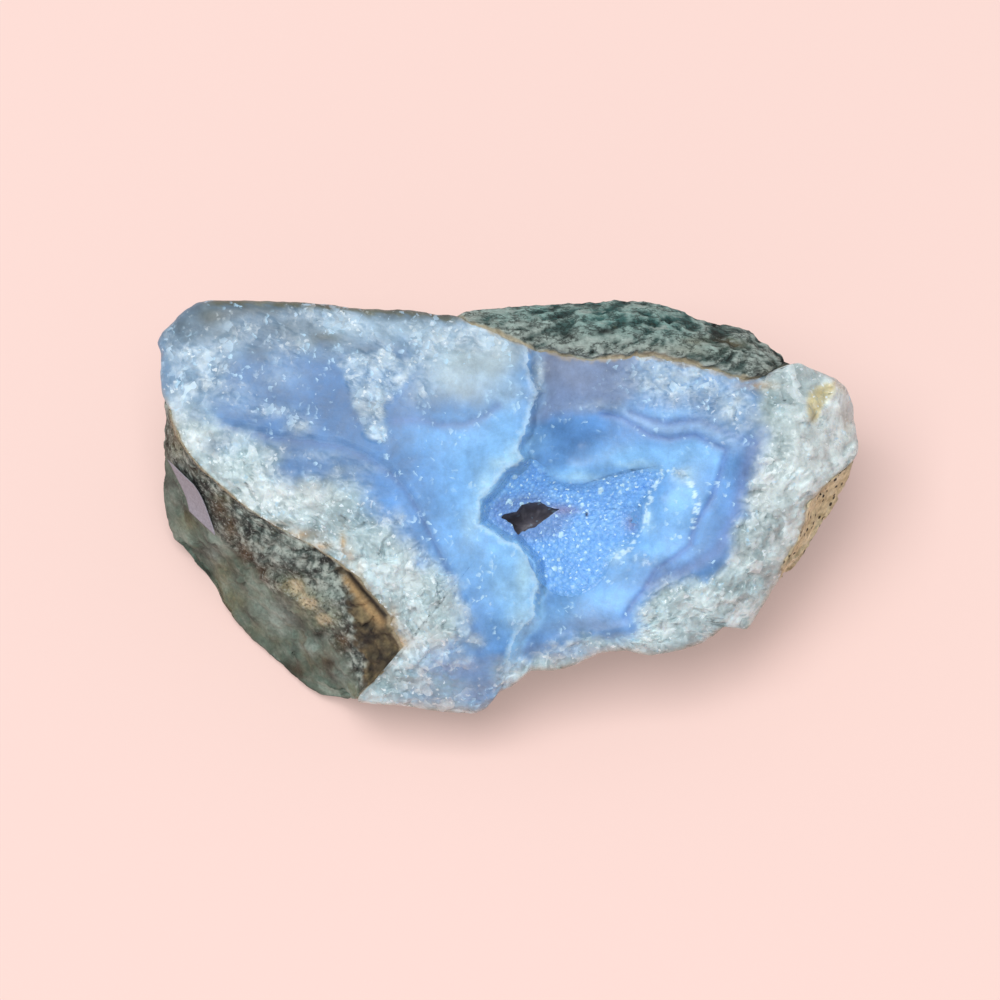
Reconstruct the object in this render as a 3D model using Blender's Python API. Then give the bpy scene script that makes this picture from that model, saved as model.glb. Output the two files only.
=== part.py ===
"""Chalcedony specimen: a blue chalcedony and quartz filling in a bowl of host rock.

The stone is drawn in face axes, in millimetres. Their origin is the middle of the
small dark hole, u runs to the right across the broken face, v runs up it and w
stands out of it. The face leans back from level by FACE_TILT and its origin stands
FACE_HEIGHT above the table. world() turns face axes into metres with +Z up.

Every solid is a stack of rings. A ring has one point for each direction round
the stone, so neighbouring solids share their points and keep an even gap.
"""

import math

import bpy
import numpy as np

# Driving dimensions, in millimetres and degrees
FACE_TILT = 24.0
FACE_HEIGHT = 46.0
GAP = 0.3
STATIONS = 82
EDGE_ROUND = 3.0
CRUST_THICKNESS = 1.0
CRYSTAL_HEIGHT = 0.9
STEP_WIDTH = 1.6
BOWL_DEPTH = 30.0
SHELF = 0.93
SHELF_DROP = 1.0
BOWL_POWER = 2.6
BULGE = 0.07
LABEL_THICKNESS = 0.35
LABEL_CURL = 0.25
MM = 0.001

# The filling's edge: rounding where it meets bare rock, and the edge's fall for each
# millimetre of rounding, halfway in and right at the edge
BARE_ROUND = 0.5
HALFWAY_FALL = 0.12
EDGE_FALL = 0.6

# The rock's rim under a wrapped edge: how far below the gap it starts, and its fall outwards
HIDDEN_DROP = 0.7
HIDDEN_FALL = 4.0

# The crust's floor starts at this share of the hole, its underside at a smaller one
FLOOR_START = 1.12
CRUST_START = 1.02

# Dark pocket under the hole: size as a share of the hole, depth w and drift down the face
POCKET_LEVELS = ((0.45, -17.4, -1.6), (0.75, -15.6, -1.0), (0.98, -13.6, -0.4))
POCKET_END = (-0.4, -1.8, -18.0)
LIP_SHARE = 1.1
LIP_DROP = 1.0

# Centre of the directions of the outer outlines, chosen so that each outline is
# met once in every direction
CENTRE = np.array([8.0, -12.0])
HOLE_CENTRE = np.array([0.0, 0.0])

# The stone's outline, looked at straight onto the face
OUTLINE = [
    (-74.8, 34.8), (-73.6, 37.3), (-71.9, 38.7), (-70.7, 40.0), (-69.3, 41.4), (-66.9, 42.9),
    (-64.4, 43.3), (-60.1, 43.3), (-54.7, 43.2), (-49.9, 43.1), (-45.0, 42.8), (-41.2, 42.5),
    (-34.4, 41.7), (-29.5, 41.5), (-23.7, 41.3), (-20.8, 40.8), (-17.9, 40.3), (-15.5, 40.4),
    (-10.0, 41.6), (-4.9, 41.9), (0.2, 42.5), (7.3, 42.9), (11.9, 43.2), (17.6, 43.5),
    (22.7, 43.2), (26.7, 42.5), (29.8, 41.6), (33.1, 39.9), (37.4, 39.0), (41.0, 38.3),
    (44.1, 37.4), (45.6, 36.2), (47.7, 34.7), (49.7, 33.2), (52.0, 31.6), (55.3, 30.2),
    (58.9, 28.9), (61.4, 27.7), (63.5, 26.0), (64.7, 24.0), (65.3, 21.7), (65.5, 18.6),
    (65.9, 16.1), (66.3, 13.9), (66.0, 11.5), (65.4, 9.6), (64.3, 6.3), (62.4, 3.4),
    (60.2, -0.2), (57.9, -3.8), (55.8, -7.3), (53.3, -10.1), (50.7, -12.2), (48.7, -15.0),
    (46.6, -18.6), (45.1, -21.1), (43.6, -22.9), (42.3, -22.7), (39.0, -22.4), (36.9, -24.1),
    (34.4, -25.7), (30.8, -27.0), (26.7, -27.8), (24.2, -28.1), (21.6, -27.6), (18.6, -27.1),
    (15.5, -27.2), (13.0, -28.2), (10.4, -29.5), (7.3, -30.5), (4.3, -31.3), (0.2, -31.2),
    (-1.8, -32.8), (-3.9, -34.5), (-6.3, -35.5), (-7.5, -37.2), (-8.9, -38.9), (-11.1, -39.7),
    (-14.5, -39.7), (-18.4, -39.3), (-22.3, -38.8), (-26.6, -38.1), (-31.5, -37.8),
    (-35.3, -37.4), (-39.2, -36.8), (-42.1, -36.2), (-44.6, -35.0), (-47.0, -33.3),
    (-49.9, -30.6), (-52.8, -27.9), (-56.2, -25.0), (-59.1, -21.9), (-61.5, -19.0),
    (-63.0, -16.5), (-63.9, -14.1), (-65.2, -12.4), (-67.1, -10.5), (-69.3, -7.8),
    (-70.7, -5.9), (-72.2, -4.9), (-73.2, -2.5), (-73.7, 0.4), (-74.0, 4.8), (-73.9, 13.5),
    (-73.7, 20.0), (-73.9, 24.9), (-74.2, 32.7),
]

# Where the filling's edge leaves the outline and runs inside it: the lower left,
# the upper right and the strip at the right
FILLING_LOWER_LEFT = [
    (-73.5, 25.9), (-73.2, 23.9), (-71.9, 21.0), (-71.2, 17.9), (-70.0, 14.5), (-68.3, 11.6),
    (-65.3, 9.0), (-62.8, 6.9), (-60.8, 5.0), (-58.6, 3.6), (-56.7, 1.9), (-54.7, -0.1),
    (-51.8, -1.8), (-48.9, -2.7), (-47.0, -3.7), (-44.6, -5.4), (-42.1, -6.6), (-39.7, -7.6),
    (-39.2, -9.3), (-36.8, -10.0), (-35.3, -11.2), (-33.4, -13.6), (-31.5, -16.1),
    (-29.0, -18.5), (-28.3, -19.5), (-27.3, -23.3), (-25.6, -25.8), (-24.4, -27.9),
    (-28.4, -29.9), (-30.3, -33.0), (-33.0, -34.9), (-36.3, -37.2),
]
FILLING_UPPER_RIGHT = [
    (52.0, 31.6), (51.0, 30.4), (50.7, 28.3), (49.4, 27.0), (48.2, 25.8), (45.1, 25.8),
    (42.6, 27.0), (40.5, 28.3), (36.9, 29.1), (33.4, 29.9), (29.3, 30.9), (25.7, 31.6),
    (22.7, 32.1), (19.1, 32.0), (15.5, 31.4), (11.9, 31.3), (7.9, 31.9), (4.8, 32.7),
    (1.2, 33.2), (-1.3, 34.2), (-3.9, 35.6), (-6.9, 36.7), (-10.0, 37.8), (-13.5, 39.0),
    (-15.5, 40.2),
]
FILLING_RIGHT = [
    (48.7, -14.8), (50.0, -12.4), (50.5, -9.9), (52.2, -7.8), (53.8, -4.8), (55.1, -1.2),
    (55.8, 2.4), (56.8, 5.2), (59.9, 6.4), (61.9, 9.0), (64.5, 10.6), (65.6, 11.3),
]

# The hole's rim, and the edge of the crystal crust round it
HOLE = [
    (-5.9, -0.3), (-5.1, 0.3), (-2.4, 1.0), (-1.4, 2.4), (-0.3, 2.7), (2.0, 2.7), (3.8, 1.9),
    (5.8, 1.3), (4.7, 0.6), (3.7, -0.3), (2.3, -1.5), (0.3, -2.6), (-1.6, -3.1), (-2.5, -3.9),
    (-3.2, -2.7), (-3.7, -1.6), (-4.9, -0.8),
]
CRUST = [
    (-0.1, 11.6), (-1.5, 10.2), (-2.7, 9.3), (-4.7, 8.2), (-5.9, 6.3), (-7.9, 4.5), (-9.8, 3.1),
    (-10.0, -1.5), (-7.7, -2.8), (-5.4, -4.4), (-2.4, -5.6), (-0.8, -7.9), (0.8, -10.6),
    (1.7, -12.9), (2.4, -14.8), (3.6, -15.2), (9.0, -16.8), (14.0, -13.8), (16.2, -9.2),
    (18.5, -6.4), (21.9, -3.9), (22.9, 0.2), (22.4, 2.1), (23.8, 4.4), (25.8, 7.1), (29.3, 8.7),
    (26.8, 9.2), (23.8, 9.7), (19.2, 9.4), (15.9, 8.4), (12.6, 6.9), (10.2, 6.3), (6.5, 6.8),
    (4.7, 7.7), (3.8, 9.6), (1.2, 11.4),
]

# The broken step that parts the high left side of the face from the low right side
STEP = [
    (-0.5, 50.0), (-0.3, 30.4), (-0.1, 28.3), (1.7, 24.8), (0.5, 21.7), (-0.3, 18.6),
    (-1.6, 16.1), (-2.3, 13.0), (-1.3, 11.5), (-2.3, 10.2), (-4.9, 9.7), (-5.9, 7.9),
    (-7.4, 5.9), (-9.8, 3.1), (-10.0, -1.5), (-7.7, -2.8), (-5.4, -4.4), (-2.4, -5.6),
    (1.0, -9.4), (1.5, -12.4), (1.5, -14.5), (0.7, -17.0), (1.0, -19.6), (0.2, -21.1),
    (-2.3, -23.1), (-4.0, -28.0), (-5.0, -50.0),
]

# Spot heights of the face as (u, v, w), left of the step and right of it
LEFT_SPOTS = [
    (-72, 36, -8.0), (-62, 42, -6.5), (-45, 42, -5.5), (-30, 40.5, -5.0), (-18, 39, -5.0),
    (-8, 37, -3.5), (-3, 34, -2.5), (-73, 28, -7.0), (-70, 20, -5.0), (-66, 12, -4.0),
    (-58, 5, -3.5), (-50, -1, -3.0), (-42, -5.5, -3.0), (-35, -10, -2.5), (-30, -17, -3.0),
    (-26, -25, -5.0), (-33, -36, -13.0), (-20, -38, -12.0), (-10, -38, -12.0), (-8, -34, -9.0),
    (-60, 30, -3.5), (-50, 25, -2.2), (-40, 20, -1.0), (-30, 25, -0.5), (-20, 30, -1.5),
    (-35, 10, 0.0), (-45, 10, -1.0), (-55, 15, -2.5), (-25, 5, 0.5), (-15, 10, 0.0),
    (-15, 20, 0.0), (-8, 25, -0.5), (-20, -5, 0.3), (-15, -15, -0.8), (-20, -22, -2.0),
    (-8, -10, -1.0), (-8, -20, -2.5), (-12, -28, -5.0), (-5, -28, -6.0), (-22, -30, -6.5),
    (-8, 15, -0.3), (-3, 25, -1.5), (-2, 15, -1.2), (-10, 3, -1.5), (0, -12, -2.5),
]
RIGHT_SPOTS = [
    (1, 31, -6.0), (10, 31.5, -5.0), (20, 32, -4.0), (30, 30.5, -4.0), (40, 28.5, -4.5),
    (47, 25, -6.0), (10, 25, -5.5), (20, 25, -5.0), (30, 25, -4.0), (38, 23, -3.5),
    (3, 22, -6.0), (12, 19, -6.5), (22, 19, -5.0), (33, 19, -3.5), (42, 18, -2.5),
    (46, 22, -3.0), (49, 17, -2.8), (53, 13, -3.3), (56, 8, -4.5), (54, 0, -7.0),
    (50, -9, -9.0), (52, 30, -9.0), (57, 28.5, -12.0), (62, 26, -14.0), (65, 20, -17.0),
    (65.5, 14, -16.0), (60, 20, -11.0), (60, 12, -9.0), (54, 22, -7.0), (64, 9, -13.0),
    (60, 2, -13.0), (55, -7, -13.0), (50, -12, -12.5), (45, -20, -12.0), (40, -21, -10.0),
    (32, -26, -9.5), (24, -27, -9.0), (15, -27, -8.5), (8, -29, -9.0), (0, -30.5, -9.5),
    (-4, -33, -10.0), (40, 10, -3.5), (45, 5, -4.0), (42, -3, -4.5), (48, -5, -6.0),
    (38, -12, -5.0), (30, -18, -6.0), (42, -15, -8.0), (20, -23, -6.5), (10, -23, -7.0),
    (3, -25, -7.5), (33, 0, -4.5), (28, -8, -5.0), (22, -14, -6.0), (15, -18, -6.5),
    (5, -18, -7.0), (0, 8, -8.5), (-7, 2, -7.5), (-5, -2, -8.5), (3, 5, -9.5), (10, 4, -9.5),
    (15, 0, -10.0), (20, 0, -9.5), (20, 5, -8.0), (25, 7, -7.0), (10, -5, -10.0),
    (5, -10, -9.5), (3, -14, -8.8), (10, -14, -8.5), (15, -8, -9.0), (1, -1, -10.0),
    (20, -5, -8.5), (5, 12, -6.5), (10, 9.5, -6.8), (15, 11, -6.0), (20, 12, -5.5),
    (27, 11, -5.0), (33, 12, -4.5), (10, 14, -8.0), (0, 14, -6.5), (3, 18, -6.3),
    (29, 1, -4.6), (26, 4, -5.2), (31, -4, -5.0), (25, -3, -5.8), (27, 6, -5.8),
]

# Spot heights of the bare rock: lower left flank, upper right top and right strip
ROCK_SPOTS = [
    (-73, 24, -7.5), (-70, 15, -6.5), (-65, 9, -5.0), (-58, 3.5, -4.0), (-50, -2, -3.5),
    (-42, -6.5, -3.5), (-36, -11, -3.2), (-30, -17.5, -3.5), (-27.5, -24, -5.0),
    (-26, -28, -7.0), (-72.2, 11.8, -16.0), (-66.9, 6.9, -11.0), (-67.9, 1.5, -22.0),
    (-62.6, -3.4, -17.0), (-67.2, 4.0, -16.3), (-69.5, 9.4, -13.4), (-65.3, -1.0, -19.4),
    (-57, -5, -11.0), (-54, -11, -15.0), (-50, -10, -9.5), (-44, -12, -7.0), (-45, -18, -12.0),
    (-40, -18, -8.0), (-38, -26, -12.0), (-34, -33, -15.0), (-33, -20, -5.0), (-31, -27, -8.5),
    (-73.9, 20, -15.0), (-73.9, 12, -22.0), (-73.8, 4, -33.0), (-72, -4.5, -42.0),
    (-65, -12.4, -42.5), (-61.5, -19, -40.0), (-56, -25, -37.5), (-50, -30.5, -35.0),
    (-44, -35, -32.0), (-38, -36.8, -27.0), (-35, -37.4, -21.0), (-68, -6, -34.0),
    (-62, -12, -32.0), (-56, -18, -29.0), (-50, -22, -25.0), (-45, -27, -24.0),
    (-40, -31, -21.0),
    (-14, 39.8, -5.5), (-7, 38.0, -4.0), (0, 35.2, -4.0), (10, 33.2, -3.8), (20, 33.5, -3.0),
    (30, 31.8, -3.0), (40, 29.6, -3.5), (46, 27.0, -4.5), (50, 29, -6.5), (0, 39, -5.5),
    (10, 38, -4.5), (20, 38, -4.0), (30, 36, -4.5), (40, 34, -6.0), (47, 31, -7.0),
    (-10, 41.5, -9.0), (0, 42.5, -11.0), (10, 43.1, -12.0), (20, 43.4, -12.0),
    (30, 41.5, -12.0), (40, 38.4, -13.0), (46, 36, -13.0), (51, 32.3, -13.0),
    (64, 10, -13.5), (60, 6, -12.0), (56, 2, -10.5), (53.5, -5, -11.5), (50.5, -10.5, -12.0),
    (66, 12, -19.0), (64, 6, -19.5), (60, 0, -19.0), (56, -7, -19.0), (51, -12, -18.0),
    (48.8, -15, -17.5),
]

# How far the filling wraps down the stone's side, as (direction in degrees, depth)
WRAP_DEPTH = [
    (0, 2.0), (20, 2.0), (24, 5.0), (32, 9.0), (40, 6.0), (46, 1.2), (110, 1.2), (118, 5.0),
    (132, 8.0), (147, 10.0), (153, 5.0), (157, 1.2), (205, 1.2), (212, 5.0), (240, 6.0),
    (270, 5.0), (310, 5.0), (343, 6.0), (352, 2.0), (360, 2.0),
]

# Corners of the flat base, looked at straight onto the face
FOOT = [
    (-68.0, 16.0), (-70.5, -1.0), (-62.5, -16.0), (-50.0, -28.5), (-38.0, -34.5),
    (-18.0, -33.0), (2.0, -26.5), (22.0, -22.5), (38.0, -15.5), (47.0, -5.0), (53.0, 4.0),
    (50.0, 12.0), (30.0, 18.5), (8.0, 21.5), (-20.0, 21.0), (-50.0, 19.5),
]

# The small paper label on the lower left flank, as face points at three corners
LABEL_TOP_LEFT = np.array([-72.2, 11.8, -16.0])
LABEL_TOP_RIGHT = np.array([-66.9, 6.9, -11.0])
LABEL_LOW_LEFT = np.array([-67.9, 1.5, -22.0])

# Ring places, as shares of the way from one outline to the next
FLOOR_SHARES = (0.0, 0.35, 0.7, 1.0)
FACE_SHARES = (0.1, 0.22, 0.36, 0.5, 0.64, 0.78, 0.9)
BOWL_SHARES = (0.8, 0.6, 0.4, 0.2)
FLANK_SHARES = (0.2, 0.4, 0.6, 0.8, 1.0)
WALL_SHARES = (0.25, 0.5, 0.75, 1.0)


def clear_scene():
    """Remove every object of the start scene."""
    for thing in list(bpy.data.objects):
        bpy.data.objects.remove(thing, do_unlink=True)


def world(points):
    """Turn face points in millimetres into world points in metres, +Z up."""
    u, v, w = points[..., 0], points[..., 1], points[..., 2]
    lean = math.radians(FACE_TILT)
    y = v * math.cos(lean) - w * math.sin(lean)
    z = FACE_HEIGHT + v * math.sin(lean) + w * math.cos(lean)
    return np.stack([u, y, np.maximum(z, 0.0)], axis=-1) * MM


def table_depth(v):
    """Give the depth w at which the table lies under height v on the face."""
    lean = math.radians(FACE_TILT)
    return -(FACE_HEIGHT + v * math.sin(lean)) / math.cos(lean)


def radius_at(outline, centre, angles):
    """Give the distance from the centre to a closed outline in each direction."""
    start = np.array(outline, float) - centre
    end = np.roll(start, -1, axis=0)
    side = end - start
    ray = np.stack([np.cos(angles), np.sin(angles)], axis=-1)[:, None, :]
    cross = ray[..., 0] * side[:, 1] - ray[..., 1] * side[:, 0]
    cross = np.where(np.abs(cross) < 1e-9, 1e-9, cross)
    reach = (start[:, 0] * side[:, 1] - start[:, 1] * side[:, 0]) / cross
    share = (start[:, 0] * ray[..., 1] - start[:, 1] * ray[..., 0]) / cross
    met = (reach > 0.0) & (share >= -1e-6) & (share <= 1.0 + 1e-6)
    return np.where(met, reach, 0.0).max(axis=1)


def thin_plate(spots):
    """Return a smooth surface through spot heights: a plane plus r squared times log r."""
    known = np.array(spots, float)
    count = len(known)

    def kernel(points):
        """Give r squared times log r from each point to each spot."""
        square = ((points[..., None, :] - known[:, :2]) ** 2).sum(axis=-1)
        return square * np.log(square + 1e-9)

    system = np.zeros((count + 3, count + 3))
    system[:count, :count] = kernel(known[:, :2])
    system[:count, count:] = np.column_stack([np.ones(count), known[:, :2]])
    system[count:, :count] = system[:count, count:].T
    heights = np.concatenate([known[:, 2], np.zeros(3)])
    weights = np.linalg.solve(system, heights)

    def height(points):
        """Give the surface's height at plan points."""
        plane = weights[count] + points @ weights[count + 1:]
        return kernel(points) @ weights[:count] + plane

    return height


def beyond_step(points):
    """Give the distance right of the broken step, negative to its left."""
    line = np.array(STEP, float)
    start, end = line[:-1], line[1:]
    side = end - start
    rel = points[..., None, :] - start
    share = np.clip((rel * side).sum(-1) / (side * side).sum(-1), 0.0, 1.0)
    apart = np.sqrt(((rel - share[..., None] * side) ** 2).sum(-1)).min(axis=-1)
    spans = (start[:, 1] > points[..., None, 1]) != (end[:, 1] > points[..., None, 1])
    rise = np.where(np.abs(side[:, 1]) < 1e-9, 1e-9, side[:, 1])
    crossing = start[:, 0] + (points[..., None, 1] - start[:, 1]) * side[:, 0] / rise
    to_left = (spans & (crossing < points[..., None, 0])).sum(axis=-1) % 2 == 1
    return np.where(to_left, apart, -apart)


def smooth(low, high, value):
    """Rise from 0 to 1 between low and high with level ends."""
    share = np.clip((value - low) / (high - low), 0.0, 1.0)
    return share * share * (3.0 - 2.0 * share)


LEFT_HEIGHT = thin_plate(LEFT_SPOTS)
RIGHT_HEIGHT = thin_plate(RIGHT_SPOTS)
ROCK_HEIGHT = thin_plate(ROCK_SPOTS)


def face_height(points):
    """Give w of the face: the left surface, dropping to the right one at the step."""
    right = smooth(-0.4, STEP_WIDTH, beyond_step(points))
    return LEFT_HEIGHT(points) * (1.0 - right) + RIGHT_HEIGHT(points) * right


def filling_outline():
    """Join the stone's outline with the three stretches where the filling's edge runs inside."""
    def nearest(point):
        """Give the number of the outline's point that is closest to a point."""
        return int(np.hypot(*(np.array(OUTLINE) - point).T).argmin())

    left_end, left_start = nearest(FILLING_LOWER_LEFT[0]), nearest(FILLING_LOWER_LEFT[-1])
    top_end, top_start = nearest(FILLING_UPPER_RIGHT[0]), nearest(FILLING_UPPER_RIGHT[-1])
    right_end, right_start = nearest(FILLING_RIGHT[0]), nearest(FILLING_RIGHT[-1])
    joined = list(OUTLINE[left_end + 1:]) + list(OUTLINE[:top_start])
    joined += FILLING_UPPER_RIGHT[::-1] + list(OUTLINE[top_end + 1:right_start])
    joined += FILLING_RIGHT[::-1] + list(OUTLINE[right_end + 1:left_start])
    return joined + FILLING_LOWER_LEFT[::-1]


def station_angles():
    """Spread the directions evenly along the outline, and set one pair on the step's top end."""
    line = np.array(OUTLINE[::-1], float)
    closed = np.vstack([line, line[:1]])
    run = np.concatenate([[0.0], np.cumsum(np.hypot(*np.diff(closed, axis=0).T))])
    places = np.linspace(0.0, run[-1], STATIONS, endpoint=False)
    u = np.interp(places, run, closed[:, 0]) - CENTRE[0]
    v = np.interp(places, run, closed[:, 1]) - CENTRE[1]
    angles = np.arctan2(v, u) % (2.0 * math.pi)
    pair = np.radians([97.6, 100.4])
    clear = np.abs(angles - pair.mean()) > math.radians(2.4)
    return np.sort(np.concatenate([angles[clear], pair]))


def ring(centre, radius, angles):
    """Place one face point in each direction."""
    return centre + radius[:, None] * np.stack([np.cos(angles), np.sin(angles)], axis=-1)


def raise_to(plan, w):
    """Give plan points their depth."""
    return np.concatenate([plan, np.broadcast_to(w, plan.shape[:1])[:, None]], axis=1)


def blend(a, b, share):
    """Go a share of the way from a to b."""
    return a + (b - a) * share


def offset_rows(rows, gap):
    """Move a stack of rings along its surface normals."""
    along = np.gradient(rows, axis=0)
    round_ring = np.roll(rows, -1, axis=1) - np.roll(rows, 1, axis=1)
    normal = np.cross(along, round_ring)
    return rows + gap * normal / np.linalg.norm(normal, axis=-1, keepdims=True)


class Shape:
    """Rings that several solids share."""

    def __init__(self):
        self.angles = station_angles()
        silhouette = radius_at(OUTLINE, CENTRE, self.angles)
        filling = np.minimum(radius_at(filling_outline(), CENTRE, self.angles), silhouette)
        self.outer = silhouette
        self.inner = np.where(silhouette - filling < 1.0, silhouette, filling)
        self.wrapped = (silhouette - self.inner < 0.01).astype(float)
        self.edge = ring(CENTRE, self.inner, self.angles)
        degrees = np.degrees(self.angles)
        table = np.array(WRAP_DEPTH, float)
        self.skirt = np.interp(degrees, table[:, 0], table[:, 1])
        self.hole = radius_at(HOLE, HOLE_CENTRE, self.angles)
        self.crust = radius_at(CRUST, HOLE_CENTRE, self.angles)
        self.rounding = blend(BARE_ROUND, EDGE_ROUND, self.wrapped)
        self.edge_depth = face_height(self.edge) - EDGE_FALL * self.rounding
        self.low = self.edge_depth - self.skirt

    def floor(self, share):
        """Ring of the crust's floor, from just outside the hole to just inside its edge."""
        outer = self.crust - 2.0 * GAP
        return ring(HOLE_CENTRE, blend(FLOOR_START * self.hole, outer, share), self.angles)

    def face(self, share):
        """Ring of the open face, from the crust's edge to the filling's edge."""
        start = ring(HOLE_CENTRE, self.crust, self.angles)
        return blend(start, self.edge, share)

    def bowl(self):
        """Underside of the filling, from the bottom of its wrapped edge to its deepest point."""
        rows = [raise_to(self.edge, self.low)]
        shelf = ring(CENTRE, self.inner * SHELF, self.angles)
        shelf_depth = self.low - SHELF_DROP
        rows.append(raise_to(shelf, shelf_depth))
        for share in BOWL_SHARES:
            plan = ring(CENTRE, self.inner * share, self.angles)
            sink = 1.0 - share ** BOWL_POWER
            rows.append(raise_to(plan, blend(shelf_depth, -BOWL_DEPTH, sink)))
        return np.array(rows)


def pocket_rows(shape):
    """Dark pocket under the hole: narrower with depth, drifting down the face, closed below."""
    rows = []
    for share, w, drift in POCKET_LEVELS:
        middle = HOLE_CENTRE + np.array([0.0, drift])
        rows.append(raise_to(ring(middle, shape.hole * share, shape.angles), w))
    lip = ring(HOLE_CENTRE, shape.hole * LIP_SHARE, shape.angles)
    rows.append(raise_to(lip, face_height(lip) - CRUST_THICKNESS - GAP - LIP_DROP))
    return rows


def filling_rows(shape):
    """Pocket, crust floor, open face, rounded edge, wrapped side and underside."""
    rows = pocket_rows(shape)
    for share in FLOOR_SHARES:
        plan = shape.floor(share)
        rows.append(raise_to(plan, face_height(plan) - CRUST_THICKNESS - GAP))
    corner = ring(HOLE_CENTRE, shape.crust - 0.5 * GAP, shape.angles)
    rows.append(raise_to(corner, rows[-1][:, 2]))
    brim = shape.face(0.0)
    rows.append(raise_to(brim, face_height(brim)))
    for share in FACE_SHARES:
        plan = shape.face(share)
        rows.append(raise_to(plan, face_height(plan)))
    near = ring(CENTRE, shape.inner - 0.5 * shape.rounding, shape.angles)
    rows.append(raise_to(near, face_height(near) - HALFWAY_FALL * shape.rounding))
    rows.append(raise_to(shape.edge, shape.edge_depth))
    return np.concatenate([np.array(rows), shape.bowl()])


def rock_rows(shape):
    """Bowl under the filling, its rim, the bare rock, the outer wall and the base."""
    under = offset_rows(shape.bowl(), GAP)[::-1]
    corner_radius = shape.inner + blend(GAP, -0.1, shape.wrapped)
    corner = ring(CENTRE, corner_radius, shape.angles)
    top_plan = ring(CENTRE, corner_radius + 0.05 + 0.05 * shape.wrapped, shape.angles)
    hidden = shape.low - GAP - HIDDEN_DROP
    top_depth = blend(ROCK_HEIGHT(top_plan), hidden, shape.wrapped)
    rows = list(under[:-1]) + [raise_to(corner, shape.low - GAP), raise_to(top_plan, top_depth)]
    rim = ring(CENTRE, shape.outer, shape.angles)
    for share in FLANK_SHARES:
        plan = blend(top_plan, rim, share)
        depth = blend(ROCK_HEIGHT(plan), hidden - HIDDEN_FALL * share, shape.wrapped)
        rows.append(raise_to(plan, depth))
    return np.array(rows + wall_rows(shape, rows[-1]))


def wall_rows(shape, rim):
    """Straight fall from the outline to the base's corners, swelling a little halfway."""
    foot_radius = radius_at(FOOT, CENTRE, shape.angles)
    foot_plan = ring(CENTRE, foot_radius, shape.angles)
    foot = raise_to(foot_plan, table_depth(foot_plan[:, 1]))
    rows = []
    for share in WALL_SHARES:
        level = blend(rim, foot, share)
        swell = 1.0 + BULGE * math.sin(math.pi * share)
        radius = np.hypot(*(level[:, :2] - CENTRE).T) * swell
        plan = ring(CENTRE, np.minimum(radius, shape.outer - 0.05), shape.angles)
        rows.append(raise_to(plan, level[:, 2]))
    return rows


def crust_rows(shape):
    """Crystal points over the crust's top, and its underside a gap above the floor."""
    rows = []
    shares = (0.0, 0.16, 0.34, 0.52, 0.7, 0.86, 1.0)
    for row, share in enumerate(shares):
        inner, outer = shape.hole, shape.crust - 2.0 * GAP
        plan = ring(HOLE_CENTRE, blend(inner, outer, share), shape.angles)
        inside = 0.0 < share < 1.0
        rows.append(raise_to(plan, face_height(plan) + crystal_points(row, inside, len(plan))))
    for share in FLOOR_SHARES[::-1]:
        plan = shape.floor(share)
        rows.append(raise_to(plan, face_height(plan) - CRUST_THICKNESS))
    rim = ring(HOLE_CENTRE, shape.hole * CRUST_START, shape.angles)
    rows.append(raise_to(rim, face_height(rim) - 0.8 * CRUST_THICKNESS))
    return np.array(rows)


def crystal_points(row, inside, stations):
    """Height pattern of one ring: tall and short points in turn, lower at the crust's edges."""
    tall = ((np.arange(stations) * 5 + row * 3) % 7) / 6.0
    height = CRYSTAL_HEIGHT if inside else 0.25 * CRYSTAL_HEIGHT
    return height * tall - 0.1


def triangles(rows, stations, other_diagonal):
    """Two triangles for every patch between neighbouring rings, facing out."""
    faces = []
    for i in range(rows - 1):
        for j in range(stations):
            k = (j + 1) % stations
            a, b = i * stations + j, (i + 1) * stations + j
            c, d = (i + 1) * stations + k, i * stations + k
            if other_diagonal:
                faces += [(a, b, d), (b, c, d)]
            else:
                faces += [(a, b, c), (a, c, d)]
    return faces


def capped(rows, first, last, other_diagonal):
    """Close a stack of rings with one point at each end."""
    count, stations = rows.shape[:2]
    points = np.vstack([rows.reshape(-1, 3), first, last])
    faces = triangles(count, stations, other_diagonal)
    top, bottom = count * stations, count * stations + 1
    start = (count - 1) * stations
    for j in range(stations):
        k = (j + 1) % stations
        faces.append((top, j, k))
        faces.append((bottom, start + k, start + j))
    return points, faces


def looped(rows, other_diagonal):
    """Join the last ring of a stack to the first one."""
    count, stations = rows.shape[:2]
    closed = np.concatenate([rows, rows[:1]])
    faces = triangles(count + 1, stations, other_diagonal)
    total = count * stations
    return closed.reshape(-1, 3)[:total], [tuple(p % total for p in face) for face in faces]


def label_solid():
    """Thin bent sheet: four by six patches between the corners, its ends curling a little."""
    across, along = np.meshgrid(np.linspace(0, 1, 4), np.linspace(0, 1, 6))
    side = LABEL_TOP_RIGHT - LABEL_TOP_LEFT
    down = LABEL_LOW_LEFT - LABEL_TOP_LEFT
    normal = np.cross(down, side)
    normal /= np.linalg.norm(normal)
    lift = LABEL_CURL * (2.0 * along - 1.0) ** 2
    flat = LABEL_TOP_LEFT + across[..., None] * side + along[..., None] * down
    back = flat + lift[..., None] * normal
    front = back + LABEL_THICKNESS * normal
    return sheet(front, back)


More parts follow.
